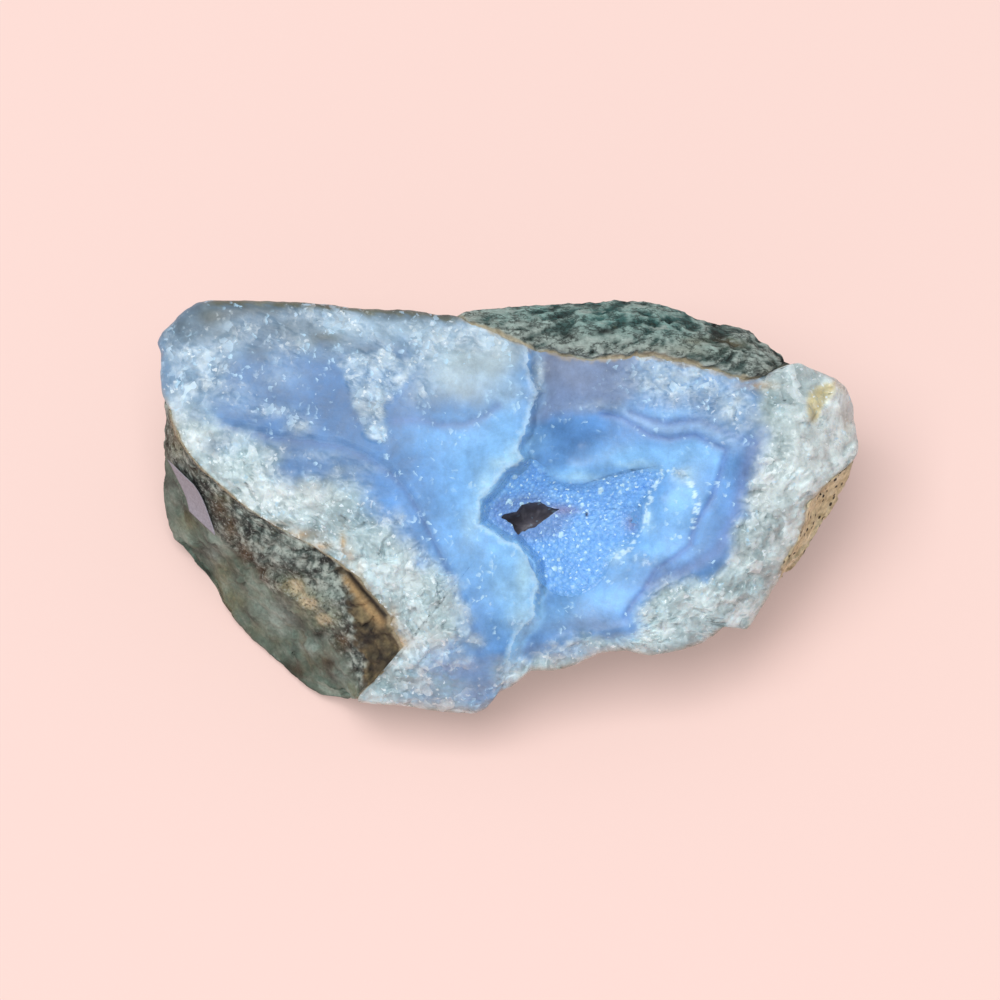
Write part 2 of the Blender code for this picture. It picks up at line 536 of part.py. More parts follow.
def sheet(front, back):
    """Close two grids of points into one thin solid."""
    rows, columns = front.shape[:2]
    points = np.concatenate([front.reshape(-1, 3), back.reshape(-1, 3)])
    under = rows * columns
    faces = []
    for i in range(rows - 1):
        for j in range(columns - 1):
            a, b = i * columns + j, (i + 1) * columns + j
            faces += [(a, b, b + 1), (a, b + 1, a + 1)]
            faces += [(under + a, under + b + 1, under + b), (under + a, under + a + 1, under + b + 1)]
    border = list(range(columns))
    border += [i * columns + columns - 1 for i in range(1, rows)]
    border += [(rows - 1) * columns + j for j in range(columns - 2, -1, -1)]
    border += [i * columns for i in range(rows - 2, 0, -1)]
    for a, b in zip(border, border[1:] + border[:1]):
        faces += [(a, b, under + b), (a, under + b, under + a)]
    return points, faces


def material(name, color, roughness):
    """Make a Principled material."""
    made = bpy.data.materials.new(name)
    made.use_nodes = True
    shader = made.node_tree.nodes["Principled BSDF"]
    shader.inputs["Base Color"].default_value = (*color, 1.0)
    shader.inputs["Roughness"].default_value = roughness
    shader.inputs["Metallic"].default_value = 0.0
    return made


def add_solid(name, points, faces, color, roughness):
    """Add one named closed mesh with its own material."""
    mesh = bpy.data.meshes.new(name)
    mesh.from_pydata(points.tolist(), [], faces)
    mesh.update()
    mesh.materials.append(material(name + "_material", color, roughness))
    thing = bpy.data.objects.new(name, mesh)
    bpy.context.scene.collection.objects.link(thing)
    return thing


def build():
    """Build the four solids and set the middle of their footprint on the world's origin."""
    shape = Shape()
    bowl_end = np.array([*CENTRE, -BOWL_DEPTH])
    filling = capped(filling_rows(shape), np.array(POCKET_END), bowl_end, False)
    base_point = np.array([*CENTRE, table_depth(CENTRE[1])])
    rock = capped(rock_rows(shape), bowl_end - np.array([0.0, 0.0, GAP]), base_point, True)
    crust = looped(crust_rows(shape), True)
    parts = (
        ("chalcedony", *filling, (0.30, 0.52, 0.82), 0.3),
        ("host_rock", *rock, (0.16, 0.19, 0.17), 0.85),
        ("druse_crust", *crust, (0.25, 0.50, 0.86), 0.2),
        ("paper_label", *label_solid(), (0.52, 0.44, 0.50), 0.8),
    )
    placed = [world(part[1]) for part in parts]
    everything = np.concatenate(placed)
    middle = (everything.max(axis=0) + everything.min(axis=0)) / 2.0
    shift = np.array([middle[0], middle[1], 0.0])
    for (name, _, faces, color, roughness), points in zip(parts, placed):
        add_solid(name, points - shift, faces, color, roughness)


clear_scene()
build()
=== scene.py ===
"""Looks of the chalcedony specimen: blue and white filling, crystal hollow, rock and label.

The stone is drawn in face axes, in millimetres, as in the part: u runs to the right across
the broken face, v runs up it and w stands out of it, from the middle of the small dark hole.
"""

import math

import bpy
import numpy as np
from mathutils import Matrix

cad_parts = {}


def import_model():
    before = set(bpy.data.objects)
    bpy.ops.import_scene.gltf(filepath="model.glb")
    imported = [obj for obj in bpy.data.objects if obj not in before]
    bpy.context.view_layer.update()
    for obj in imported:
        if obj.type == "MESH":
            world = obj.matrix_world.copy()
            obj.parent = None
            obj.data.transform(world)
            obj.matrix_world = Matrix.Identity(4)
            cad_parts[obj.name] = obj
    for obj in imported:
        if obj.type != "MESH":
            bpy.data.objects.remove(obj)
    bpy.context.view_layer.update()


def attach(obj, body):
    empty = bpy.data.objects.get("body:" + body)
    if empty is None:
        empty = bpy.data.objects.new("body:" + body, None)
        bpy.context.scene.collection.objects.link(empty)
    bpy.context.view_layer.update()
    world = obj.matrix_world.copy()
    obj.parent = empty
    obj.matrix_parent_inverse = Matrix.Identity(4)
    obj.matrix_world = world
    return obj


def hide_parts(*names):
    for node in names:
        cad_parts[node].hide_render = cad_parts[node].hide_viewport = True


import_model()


def table(text, width=2):
    """Turn numbers written as text into rows of the given width."""
    return np.array(text.split(), float).reshape(-1, width)


# Driving dimensions of the part, in millimetres and radians
MM = 0.001
LEAN = math.radians(24.0)
FACE_HEIGHT = 46.0
FOOT_MIDDLE = (-3.96639, 9.70016)
EDGE_ROUND = 3.0
STEP_WIDTH = 1.8
HIDDEN_BORDER = 1.1
BOWL_DEPTH = 30.0
BOWL_GAP = 0.6
SHELF = 0.93
BULGE = 0.07
WRAP_RETREAT = 1.1
CRUST_THICKNESS = 1.4
PAPER_THICKNESS = 0.12
PAPER_LIFT = 0.5
CENTRE = np.array([8.0, -12.0])
HOLE_CENTRE = np.array([0.0, 0.0])

# How strongly quartz bends light
QUARTZ_IOR = 1.54

# Fineness of the meshes, and the size of the crystals
STATIONS = 700
FACE_RINGS = 108
CRUST_STATIONS = 900
CRUST_RINGS = 100
FLANK_RINGS = 66
WALL_RINGS = 44
BOWL_RINGS = 7
CRYSTAL_SIZE = 0.62
CRYSTAL_HEIGHT = 0.26

# Outlines on the plan: the stone, the filling's edge where it runs inside it, hole, crust, step
OUTLINE = table("""
-74.8 34.8  -73.6 37.3  -71.9 38.7  -70.7 40  -69.3 41.4  -66.9 42.9  -64.4 43.3  -60.1 43.3  -54.7 43.2
-49.9 43.1  -45 42.8  -41.2 42.5  -34.4 41.7  -29.5 41.5  -23.7 41.3  -20.8 40.8  -17.9 40.3  -15.5 40.4
-10 41.6  -4.9 41.9  0.2 42.5  7.3 42.9  11.9 43.2  17.6 43.5  22.7 43.2  26.7 42.5  29.8 41.6
33.1 39.9  37.4 39  41 38.3  44.1 37.4  45.6 36.2  47.7 34.7  49.7 33.2  52 31.6  55.3 30.2  58.9 28.9
61.4 27.7  63.5 26  64.7 24  65.3 21.7  65.5 18.6  65.9 16.1  66.3 13.9  66 11.5  65.4 9.6  64.3 6.3
62.4 3.4  60.2 -0.2  57.9 -3.8  55.8 -7.3  53.3 -10.1  50.7 -12.2  48.7 -15  46.6 -18.6  45.1 -21.1
43.6 -22.9  42.3 -22.7  39 -22.4  36.9 -24.1  34.4 -25.7  30.8 -27  26.7 -27.8  24.2 -28.1  21.6 -27.6
18.6 -27.1  15.5 -27.2  13 -28.2  10.4 -29.5  7.3 -30.5  4.3 -31.3  0.2 -31.2  -1.8 -32.8  -3.9 -34.5
-6.3 -35.5  -7.5 -37.2  -8.9 -38.9  -11.1 -39.7  -14.5 -39.7  -18.4 -39.3  -22.3 -38.8  -26.6 -38.1
-31.5 -37.8  -35.3 -37.4  -39.2 -36.8  -42.1 -36.2  -44.6 -35  -47 -33.3  -49.9 -30.6  -52.8 -27.9
-56.2 -25  -59.1 -21.9  -61.5 -19  -63 -16.5  -63.9 -14.1  -65.2 -12.4  -67.1 -10.5  -69.3 -7.8
-70.7 -5.9  -72.2 -4.9  -73.2 -2.5  -73.7 0.4  -74 4.8  -73.9 13.5  -73.7 20  -73.9 24.9  -74.2 32.7
""")
FILLING_LOWER_LEFT = table("""
-73.5 25.9  -73.2 23.9  -71.9 21  -71.2 17.9  -70 14.5  -68.3 11.6  -65.3 9  -62.8 6.9  -60.8 5
-58.6 3.6  -56.7 1.9  -54.7 -0.1  -51.8 -1.8  -48.9 -2.7  -47 -3.7  -44.6 -5.4  -42.1 -6.6  -39.7 -7.6
-39.2 -9.3  -36.8 -10  -35.3 -11.2  -33.4 -13.6  -31.5 -16.1  -29 -18.5  -28.3 -19.5  -27.3 -23.3
-25.6 -25.8  -24.4 -27.9  -28.4 -29.9  -30.3 -33  -33 -34.9  -36.3 -37.2
""")
FILLING_UPPER_RIGHT = table("""
52 31.6  51 30.4  50.7 28.3  49.4 27  48.2 25.8  45.1 25.8  42.6 27  40.5 28.3  36.9 29.1  33.4 29.9
29.3 30.9  25.7 31.6  22.7 32.1  19.1 32  15.5 31.4  11.9 31.3  7.9 31.9  4.8 32.7  1.2 33.2  -1.3 34.2
-3.9 35.6  -6.9 36.7  -10 37.8  -13.5 39  -15.5 40.2
""")
FILLING_RIGHT = table("""
48.7 -14.8  50 -12.4  50.5 -9.9  52.2 -7.8  53.8 -4.8  55.1 -1.2  55.8 2.4  56.8 5.2  59.9 6.4  61.9 9
64.5 10.6  65.6 11.3
""")
HOLE = table("""
-5.9 -0.3  -5.1 0.3  -2.4 1  -1.4 2.4  -0.3 2.7  2 2.7  3.8 1.9  5.8 1.3  4.7 0.6  3.7 -0.3  2.3 -1.5
0.3 -2.6  -1.6 -3.1  -2.5 -3.9  -3.2 -2.7  -3.7 -1.6  -4.9 -0.8
""")
CRUST = table("""
-0.1 11.6  -1.5 10.2  -2.7 9.3  -4.7 8.2  -5.9 6.3  -7.9 4.5  -9.8 3.1  -10 -1.5  -7.7 -2.8  -5.4 -4.4
-2.4 -5.6  -0.8 -7.9  0.8 -10.6  1.7 -12.9  2.4 -14.8  3.6 -15.2  9 -16.8  14 -13.8  16.2 -9.2
18.5 -6.4  21.9 -3.9  22.9 0.2  22.4 2.1  23.8 4.4  25.8 7.1  29.3 8.7  26.8 9.2  23.8 9.7  19.2 9.4
15.9 8.4  12.6 6.9  10.2 6.3  6.5 6.8  4.7 7.7  3.8 9.6  1.2 11.4
""")
STEP = table("""
-0.5 50  -0.3 30.4  -0.1 28.3  1.7 24.8  0.5 21.7  -0.3 18.6  -1.6 16.1  -2.3 13  -1.3 11.5  -2.3 10.2
-4.9 9.7  -5.9 7.9  -7.4 5.9  -9.8 3.1  -10 -1.5  -7.7 -2.8  -5.4 -4.4  -2.4 -5.6  1 -9.4  1.5 -12.4
1.5 -14.5  0.7 -17  1 -19.6  0.2 -21.1  -2.3 -23.1  -4 -28  -5 -50
""")
FOOT = table("""
-68 16  -70.5 -1  -62.5 -16  -50 -28.5  -38 -34.5  -18 -33  2 -26.5  22 -22.5  38 -15.5  47 -5  53 4
50 12  30 18.5  8 21.5  -20 21  -50 19.5
""")

# Spot heights, each u, v and depth w: the face left and right of the step, and the bare rock
LEFT_SPOTS = table("""
-72 36 -8  -62 42 -6.5  -45 42 -5.5  -30 40.5 -5  -18 39 -5  -8 37 -3.5  -3 34 -2.5  -73 28 -7
-70 20 -5  -66 12 -4  -58 5 -3.5  -50 -1 -3  -42 -5.5 -3  -35 -10 -2.5  -30 -17 -3  -26 -25 -5
-33 -36 -13  -20 -38 -12  -10 -38 -12  -8 -34 -9  -60 30 -3.5  -50 25 -2.2  -40 20 -1  -30 25 -0.5
-20 30 -1.5  -35 10 0  -45 10 -1  -55 15 -2.5  -25 5 0.5  -15 10 0  -15 20 0  -8 25 -0.5  -20 -5 0.3
-15 -15 -0.8  -20 -22 -2  -8 -10 -1  -8 -20 -2.5  -12 -28 -5  -5 -28 -6  -22 -30 -6.5  -8 15 -0.3
-3 25 -1.5  -2 15 -1.2  -10 3 -1.5  0 -12 -2.5
""", 3)
RIGHT_SPOTS = table("""
1 31 -6  10 31.5 -5  20 32 -4  30 30.5 -4  40 28.5 -4.5  47 25 -6  10 25 -5.5  20 25 -5  30 25 -4
38 23 -3.5  3 22 -6  12 19 -6.5  22 19 -5  33 19 -3.5  42 18 -2.5  46 22 -3  49 17 -2.8  53 13 -3.3
56 8 -4.5  54 0 -7  50 -9 -9  52 30 -9  57 28.5 -12  62 26 -14  65 20 -17  65.5 14 -16  60 20 -11
60 12 -9  54 22 -7  64 9 -13  60 2 -13  55 -7 -13  50 -12 -12.5  45 -20 -12  40 -21 -10  32 -26 -9.5
24 -27 -9  15 -27 -8.5  8 -29 -9  0 -30.5 -9.5  -4 -33 -10  40 10 -3.5  45 5 -4  42 -3 -4.5  48 -5 -6
38 -12 -5  30 -18 -6  42 -15 -8  20 -23 -6.5  10 -23 -7  3 -25 -7.5  33 0 -4.5  28 -8 -5  22 -14 -6
15 -18 -6.5  5 -18 -7  0 8 -8.5  -7 2 -7.5  -5 -2 -8.5  3 5 -9.5  10 4 -9.5  15 0 -10  20 0 -9.5
20 5 -8  25 7 -7  10 -5 -10  5 -10 -9.5  3 -14 -8.8  10 -14 -8.5  15 -8 -9  1 -1 -10  20 -5 -8.5
5 12 -6.5  10 9.5 -6.8  15 11 -6  20 12 -5.5  27 11 -5  33 12 -4.5  10 14 -8  0 14 -6.5  3 18 -6.3
29 1 -4.6  26 4 -5.2  31 -4 -5  25 -3 -5.8  27 6 -5.8
""", 3)
ROCK_SPOTS = table("""
-73 24 -7.5  -70 15 -6.5  -65 9 -5  -58 3.5 -4  -50 -2 -3.5  -42 -6.5 -3.5  -36 -11 -3.2  -30 -17.5 -3.5
-27.5 -24 -5  -26 -28 -7  -72.2 11.8 -16  -66.9 6.9 -11  -67.9 1.5 -22  -62.6 -3.4 -17  -67.2 4 -16.3
-69.5 9.4 -13.4  -65.3 -1 -19.4  -57 -5 -11  -54 -11 -15  -50 -10 -9.5  -44 -12 -7  -45 -18 -12
-40 -18 -8  -38 -26 -12  -34 -33 -15  -33 -20 -5  -31 -27 -8.5  -73.9 20 -15  -73.9 12 -22  -73.8 4 -33
-72 -4.5 -42  -65 -12.4 -42.5  -61.5 -19 -40  -56 -25 -37.5  -50 -30.5 -35  -44 -35 -32  -38 -36.8 -27
-35 -37.4 -21  -68 -6 -34  -62 -12 -32  -56 -18 -29  -50 -22 -25  -45 -27 -24  -40 -31 -21
-14 39.8 -5.5  -7 38 -4  0 35.2 -4  10 33.2 -3.8  20 33.5 -3  30 31.8 -3  40 29.6 -3.5  46 27 -4.5
50 29 -6.5  0 39 -5.5  10 38 -4.5  20 38 -4  30 36 -4.5  40 34 -6  47 31 -7  -10 41.5 -9  0 42.5 -11
10 43.1 -12  20 43.4 -12  30 41.5 -12  40 38.4 -13  46 36 -13  51 32.3 -13  64 10 -13.5  60 6 -12
56 2 -10.5  53.5 -5 -11.5  50.5 -10.5 -12  66 12 -19  64 6 -19.5  60 0 -19  56 -7 -19  51 -12 -18
48.8 -15 -17.5
""", 3)

# How far the filling wraps over the edge, by direction in degrees
WRAP_DEPTH = table("""
0 2  20 2  24 5  32 9  40 6  46 1.2  110 1.2  118 5  132 8  147 10  153 5  157 1.2  205 1.2  212 5
240 6  270 5  310 5  343 6  352 2  360 2
""")

# Three corners of the paper label, each u, v and depth w
LABEL_TOP_LEFT, LABEL_TOP_RIGHT, LABEL_LOW_LEFT = table("""
-72.2 11.8 -16  -66.9 6.9 -11  -67.9 1.5 -22
""", 3)

# Pocket under the hole: size as a share of the hole, depth w, and drift of its middle down the face
POCKET = table("""
0.28 -17.8 -1.75  0.45 -17.3 -1.6  0.6 -16.5 -1.3  0.75 -15.6 -1  0.88 -14.6 -0.65  0.98 -13.6 -0.4
1.06 -12.6 -0.15  1.1 -11.8 0
""", 3)
POCKET_END = (-0.4, -1.8, -18.0)

# Growth lines and broken edges of the filling
LONG_BAND = table("""
-70 21  -64 18.6  -57.6 17.1  -50.9 15.7  -44 14.9  -37.3 13.8  -31.5 11.3  -27.6 8.4  -24.7 5  -22 0.6
-19.8 -3.9  -16.4 -10.7  -13.5 -18  -11.1 -22.8  -10 -27
""")
UPPER_BAND = table("""
-27 19  -22.3 19.2  -17.9 18.2  -13 18.3  -9.5 19.8  -6.5 22
""")
INNER_GROOVE = table("""
14.5 20.6  18.5 19.8  21.5 17.9  24.2 16.3  27.9 15.6  30.7 16.1  33.2 16.4  35.3 15.2  37.6 14.2
39.4 13.3  38.9 11.3  37.8 7.6  36.6 4.1  35.3 1.8  33.6 -0.9  32.5 -3.9  32.3 -5.7  29.5 -8  27 -9.6
25.2 -11  22.7 -15  20.6 -17.5  19.1 -20.1
""")
OUTER_GROOVE = table("""
20 20.9  24.7 19.1  27.9 18.5  30.7 19.1  34.3 19.1  37.6 17.5  42.1 15.6  45.8 14.5
""")
EDGE_BAND = table("""
46.5 16.5  44.4 12.9  43.1 9.4  42.1 4.8  41.4 1.4  39.5 -3  37.5 -7  33 -9.8  28 -11.8  24.5 -14
""")
LOWER_CREASE = table("""
-28 -29  -20 -30  -14 -29  -5 -27  6 -24.8  20 -22.5
""")
QUARTZ_RIDGE = table("""
42.6 26.8  46.1 22.2  49.2 17.1  52.8 14  55.8 8.4  56.8 4.9
""")
BEADED_LINES = [
    table("29.8 9.2  26.6 8.9  24.4 5  23.6 1.1  23 -3.1  20.4 -6.2  16.7 -8.8"),
    table("29.8 9.2  32.4 6.3  33.6 2.4  32.6 -2"),
    table("-2.1 -6.2  1 -13.5  1.6 -17"),
]
# A slit in the rock's brown wedge, drawn only as a dark line of painted shadow
SLIT = table("""
-36 -11.6  -34 -14.2  -31.4 -17  -28.9 -19.9
""")
SLIT_EDGE = table("""
-37 -12.6  -35 -15.2  -32.4 -18.2  -29.8 -21.4
""")

# Relief of each line: its height and half width
RELIEF = [
    (INNER_GROOVE, -0.15, 0.8), (OUTER_GROOVE, -0.1, 0.8), (EDGE_BAND, -0.12, 1.3),
    (LONG_BAND, -0.13, 1.0), (UPPER_BAND, -0.1, 0.9), (LOWER_CREASE, 0.35, 1.2),
    (QUARTZ_RIDGE, 0.5, 1.5),
]

# Kinds of filling and of bare rock, as outlines on the plan
QUARTZ_LEFT = table("""
-80 22.5  -70 21.5  -65 19  -60 17  -55 15  -51 11.5  -49 9  -47 7.2  -44.1 8.2  -40.2 7.2  -36.3 5.8
-31.5 2.8  -26.6 -2.5  -23.2 -6.9  -19.8 -10.7  -16.9 -13.6  -14 -18  -13.1 -23.3  -15 -28  -12 -31.5
-4 -31  -2 -40  -20 -45  -80 -45
""")
QUARTZ_RIGHT = table("""
46.5 27.5  45.5 21.5  47.2 15  46.1 11  44.2 4.8  43.1 0.7  42 -1.8  41 -4.8  40.3 -8.4  38 -11.4
33.9 -12.9  29.8 -12.7  25.7 -13.5  23.7 -15.5  22.7 -18.6  22.1 -21.6  20.6 -24.2  10.4 -24.2
5.3 -25.7  2.2 -27.7  -2.3 -29.3  -9 -31  -7 -50  80 -50  80 50  52 50
""")
CHIP = table("""
-38 30  -36 25  -34.5 20  -32.5 16  -29.5 15  -28.9 19  -29 22  -26.5 25  -23 29  -21.5 31.5  -30 33
-35.5 33
""")
STAIN = table("""
55.4 20.6  55.6 25  58 26.1  61.5 27  61 24.8  59.2 23.2  58.2 20.6  57 18.6  55.8 18.4
""")
GREY_VEIL = table("""
0.4 34  8 33.2  22 33.6  22.8 26  19 22  13 20.6  5 19.8  -0.4 18.6  1.6 24.8
""")
GRITTY_BAND = table("""
-80 30  -80 16  -70 8  -63.5 -3  -56 -11.5  -46 -18.5  -39 -26  -33 -36  -20 -36  -20 20
""")
BROWN_WEDGE = table("""
-38.6 -9.4  -37.2 -15  -36 -20.5  -34.8 -25.5  -33.4 -30  -33.6 -37  -24 -37  -20 -27  -26 -10  -36 -8
""")
LEAFY_TOP = table("""
-24 50  -24 36  -10 33  0 28  40 20  49 22  55 28  60 50
""")
TAN_STRIP = table("""
44 -30  44 -10  50 5  58 14  80 15  80 -30
""")

# Soft patches, each u, v, half width, half height and strength
# The patches at 8, 8.5 and at v = 12 from u = 20 to 35 are painted highlight on the crests of the ledges
# above the crust
LIGHT_PATCHES = table("""
-9 4 7 9 0.95  -5 14 5 6 0.8  -5 -9 6 7 0.85  -3 -19 5 5 0.8  -12 12 8 7 0.5  -18 16 8 4 0.35
-6 20 6 4 0.5  20 12 8 2.5 0.9  30 12 6 2.8 0.85  8 8.5 6 1.8 0.9  29 1 4.5 6 0.7  25 -7 7 3 0.6
14 -17 7 3 0.6  6 -20 6 3 0.45  -3 27 5 5 0.4  35 12 3 3 0.6  33 5 3 5 0.5  18 -12 4 5 0.5
-14 -8 6 8 0.4  -14 2 6 8 0.35  28 20.8 6 0.9 0.5  37.5 10 1.2 4 0.4  1 15 2.5 2.5 0.5
""", 5)
ICE_PATCHES = table("""
-8.5 6 2.4 3 0.85  -11.5 -1 2 4 0.5  -1 -12 2 5 0.9  -1 -20 2.8 3 0.75  23.8 -1 1.4 3 0.6
17 -8 1.6 1.6 0.6  -3 12 1.8 2.5 0.85  -6 10.5 2.5 1.5 0.8  31 8 2.2 1.6 0.7  10 7.8 4 0.9 0.6
21 10.2 5 0.9 0.5  -5 -15 3 3 0.35
""", 5)
# The patch at 11, 14.5 is painted shade in the hollow above the crust
DEEP_PATCHES = table("""
-48 29 6 4 0.7  -38 24 4 3 0.6  -42 28 5 4 0.6  -53 26 5 4 0.4  -58 20 6 3 0.6  -48 17 7 2 0.5
-38 12.4 9 1.6 0.5  -28 7 5 2.5 0.5  -45 11 6 2 0.4  -33 6 5 2 0.4  -22 22 5 3 0.5  -24 26 3 3 0.5
-24 -2 3 4 0.35  -17 -14 3 5 0.35  -12 -22 2.5 5 0.3  11 14.5 5 2.8 0.95  5 17.4 5 1.3 0.4
20 18.6 5 1.4 0.5  30 17.5 8 1.5 0.5  40 17 5 3 0.6  43 9 2.6 6 0.6  38 4 1.6 7 0.35  35 -5 3 4 0.4
28 -10 5 2 0.3  2 -25 6 2 0.3  -8 -28 6 2 0.4  44 18 2 4 0.5
""", 5)
LAVENDER_PATCHES = table("""
44.5 5 1.8 8 0.6  40 -8 3 5 0.45  12 -22 10 2.2 0.8  0 -26.5 6 1.6 0.6  -25 22 3 3 0.4
-10 -20 2.5 8 0.3  -30 34 8 2.5 0.35  45 13 2 4 0.5  -13 -30.5 6 2.6 0.9  -11 -35 4 3 0.5
28 23.2 8 1.5 0.4
""", 5)
MILKY_PATCHES = table("""
-14 32 7 5 0.95  -17 28 6 4 0.75  -8 30 5 5 0.8  -5 33 4 3 0.8  -13 25 6 2.5 0.6  -37 39 6 3 0.8
-24 38 5 2.5 0.6  -30 37 4 2.5 0.4  -19 36 4 3 0.6  -9 36 5 1.5 0.6  -4 24 3 3 0.4
""", 5)
FROST_PATCHES = table("""
-64 31 4 5 0.95  -67 27 3 4 0.5  -60 36 4 3 0.5  -70 33 3 4 0.4  -45 35 1.5 2 0.9  -46 18 2.6 1.6 0.9
-52 21 5 1.4 0.6  -56 14 3 2 0.5  31 27 9 5 1  41 22 5.5 6 0.95  25 28 4 4 0.9  -50 28 5 3 0.45
-70 24 3 3 0.4  1.6 29.5 1.2 3 0.9  1.5 25 1.5 2 0.6  30 8.2 1.5 1.2 0.8  -42 12 6 1.2 0.5
-34 9.5 5 1.2 0.4  -20 31 4 4 0.5  -22 25 2.5 3 0.6  -11 36 9 3 0.6  -40 39.5 6 2.4 0.9  -58 24 4 3 0.45
22 -9 4 2 0.3  -2 -21 3 2 0.4  -11 -25 2 1.6 0.7  13 22 6 1.2 0.35
""", 5)
# The patch at -41, 35.5 is painted shade in a notch of the upper edge
GREY_PATCHES = table("""
-64 40 6 2.8 0.95  -54 41.5 9 1.8 0.85  -41 35.5 5 1.8 0.9  -48 38 7 2.2 0.6  -62 36.5 5 1.8 0.6
-70 38 3 2.4 0.6  -68 35.5 4 1.6 0.5  -27 40 6 1.2 0.6  -34 33 4 1.6 0.4  -55 33 3 2 0.35
""", 5)
WARM_GREY_PATCHES = table("""
3 30 3 2.4 0.75  9 27 6 3 0.4  6 31.6 6 1 0.5  14 31 8 1 0.4
""", 5)
WHITE_QUARTZ_PATCHES = table("""
60 17 6 8 0.8  55 11 4 5 0.7  47 5 2.5 9 0.6  -67 15 3 3 0.7  -50 4 7 3 0.8  -43 4 5 3 0.7
-25 -12 6 6 0.5  -22 -24 6 4 0.6  -62 9.5 3 2 0.4  -71 22 1.5 4 1  52 -2 3 5 0.6  36 -18 6 4 0.5
24 -24 5 3 0.5  61 25 3 3 0.5  43 -9 3 2 0.7  48 8 3 3 0.6  -56 6 3 3 0.6  -3 -32 3 1.4 0.6
42 -19 3 2.5 0.5
""", 5)
BLUISH_QUARTZ_PATCHES = table("""
-14 -31 7 2.6 0.85  -10 -35.5 5 3.4 0.8  -18 -28 4 2 0.4  -20 -36 6 2 0.4  6 -27 8 1.6 0.5
-30 1 5 3 0.3  -47 9 5 2 0.4  -62 14 4 2 0.3
""", 5)
GREY_QUARTZ_PATCHES = table("""
50 22 3.5 4 0.8  50 14 2 4 0.6  43 -14 4 2 0.8  56 27 4 2 0.4  -34 0 6 5 0.7  -58 9 4 2.5 0.8
-64 13 3 2 0.7  -27 -34 7 3 0.6  -20 -16 4 4 0.3  47 0 3 5 0.3  38 -14.5 5 1.3 0.5  52 27 3 3 0.6
12 -25.5 2 1.5 0.4  -8 -34 5 2.5 0.4  46 -7 3 3 0.5  -18 -35 6 3 0.3
""", 5)
GOLD_PATCHES = table("""
-46 -3.8 3.5 1.2 0.8  -42 -6 2.5 1 0.8  -37.4 -5.5 0.7 2.8 0.85  -36 -8 1 1.8 0.6  -27.3 -21 0.9 2.6 0.7
-26 -25.5 1.5 1.6 0.9  -34 -11 0.8 2 0.5  46 26.2 4 0.9 0.7  -50 -1.5 2.5 0.8 0.4  64 18 1 3 0.35
63 26 2 1.5 0.4
""", 5)
SLIVERS = table("""
-41 43.2 5 1.3 1  -33 42.6 4 0.9 0.8  -24 42 5 1.3 1  -17 41 4 1.3 1
""", 5)
ROCK_GOLD = table("""
-47.6 -14.2 3 2.2 1  -44.6 -17.2 2.8 2.4 1  -41.2 -20.6 2.8 2.2 0.95  -60 -17 3 2.4 0.6
-62 -11.5 2 3 0.55  -69 -1.5 2.5 2 0.5  -55 -23 3 2 0.3  -70 15 2 3 0.5  33 35 3 1 0.5  41 34.5 3 1 0.5
48 27.6 2 1.6 0.7  -61 3.8 2.5 1 0.5  30 33 8 1 0.3
""", 5)
ROCK_BROWN = table("""
-62.4 1.4 1.8 2.4 0.85  -60 -2.6 1.5 2.6 0.85  -57.2 -7.4 1.9 2.4 0.85  -53.4 -11.2 2.4 1.8 0.8
-37.6 -25.2 1.8 1.8 0.9  -41 -29 2.4 2.6 0.7  -71.5 16.5 2 5 0.6  -46.5 -31 3 2 0.5  -66 9 3 1.6 0.45
40 33 5 1.6 0.3  -51 -27 2 2 0.3
""", 5)
ROCK_PALE = table("""
-51 -20.5 4 3.4 0.75  -63.5 -8 2 3.4 0.5  -44 -26 3 2.6 0.5  -38 -31.8 2.2 2.4 0.6  -49.8 -7.2 3.5 3 0.5
-41 -17.2 2.6 3.6 0.8  -57 -16 2.4 3 0.35  -71 -3.5 2 2 0.3  -72 4 1.6 5 0.3
""", 5)
# Painted shade: near-black spots where pits, cracks and crevices of the rock lie in shade
ROCK_SHADE_SPOTS = table("""
-40.4 -8.9 1.5 1 1  -42.4 -23.6 1.6 1.4 0.8  -40.2 -29.6 1.4 1.2 0.7  -63.5 -1 1.4 2 0.6
-66 4.5 1.2 2.4 0.5  45.6 28.4 0.6 1.6 1  47.2 27.6 0.5 1 0.9  15 37 2.5 0.8 0.9  8 36 2 0.6 0.6
-12 38.6 1.4 0.8 0.8  -47.4 -10.6 3 1.2 0.4  -50 -30 3 1.5 0.5
""", 5)
ROCK_TEAL = table("""
15 40 9 4 0.8  28 39 7 4 0.7  2 41 5 2 0.8  38 34 6 2 0.35  -6 40 4 2 0.5
""", 5)
CRUST_DEEP = table("2 8 4 2.5 .9  24 6 2 2.5 .8", 5)
CRUST_LILAC = table("21 -1.5 2 2 .8  7 1.2 3 1 .8", 5)
# Painted shade: dark dots for the crust's pinholes
CRUST_PIT_SHADE = table("11.4 .3 .3 .5 1  20.7 -1.1 .6 .35 1", 5)
# Patches where the painted white sparkles of the crust crowd
CRUST_SPARKLE_CROWDS = table("-4 5 5 4 1  15 5 8 3 1  8 -10 6 5 .6", 5)


def world(points):
    """Turn face points in millimetres into frame points in metres: lean back, raise, centre."""
    u, v, w = points[..., 0], points[..., 1], points[..., 2]
    y = v * math.cos(LEAN) - w * math.sin(LEAN)
    z = FACE_HEIGHT + v * math.sin(LEAN) + w * math.cos(LEAN)
    return np.stack([u - FOOT_MIDDLE[0], y - FOOT_MIDDLE[1], np.maximum(z, 0.0)], axis=-1) * MM


def table_depth(v):
    """Depth w of the table under height v: the face's height over the lean's cosine."""
    return -(FACE_HEIGHT + v * math.sin(LEAN)) / math.cos(LEAN)


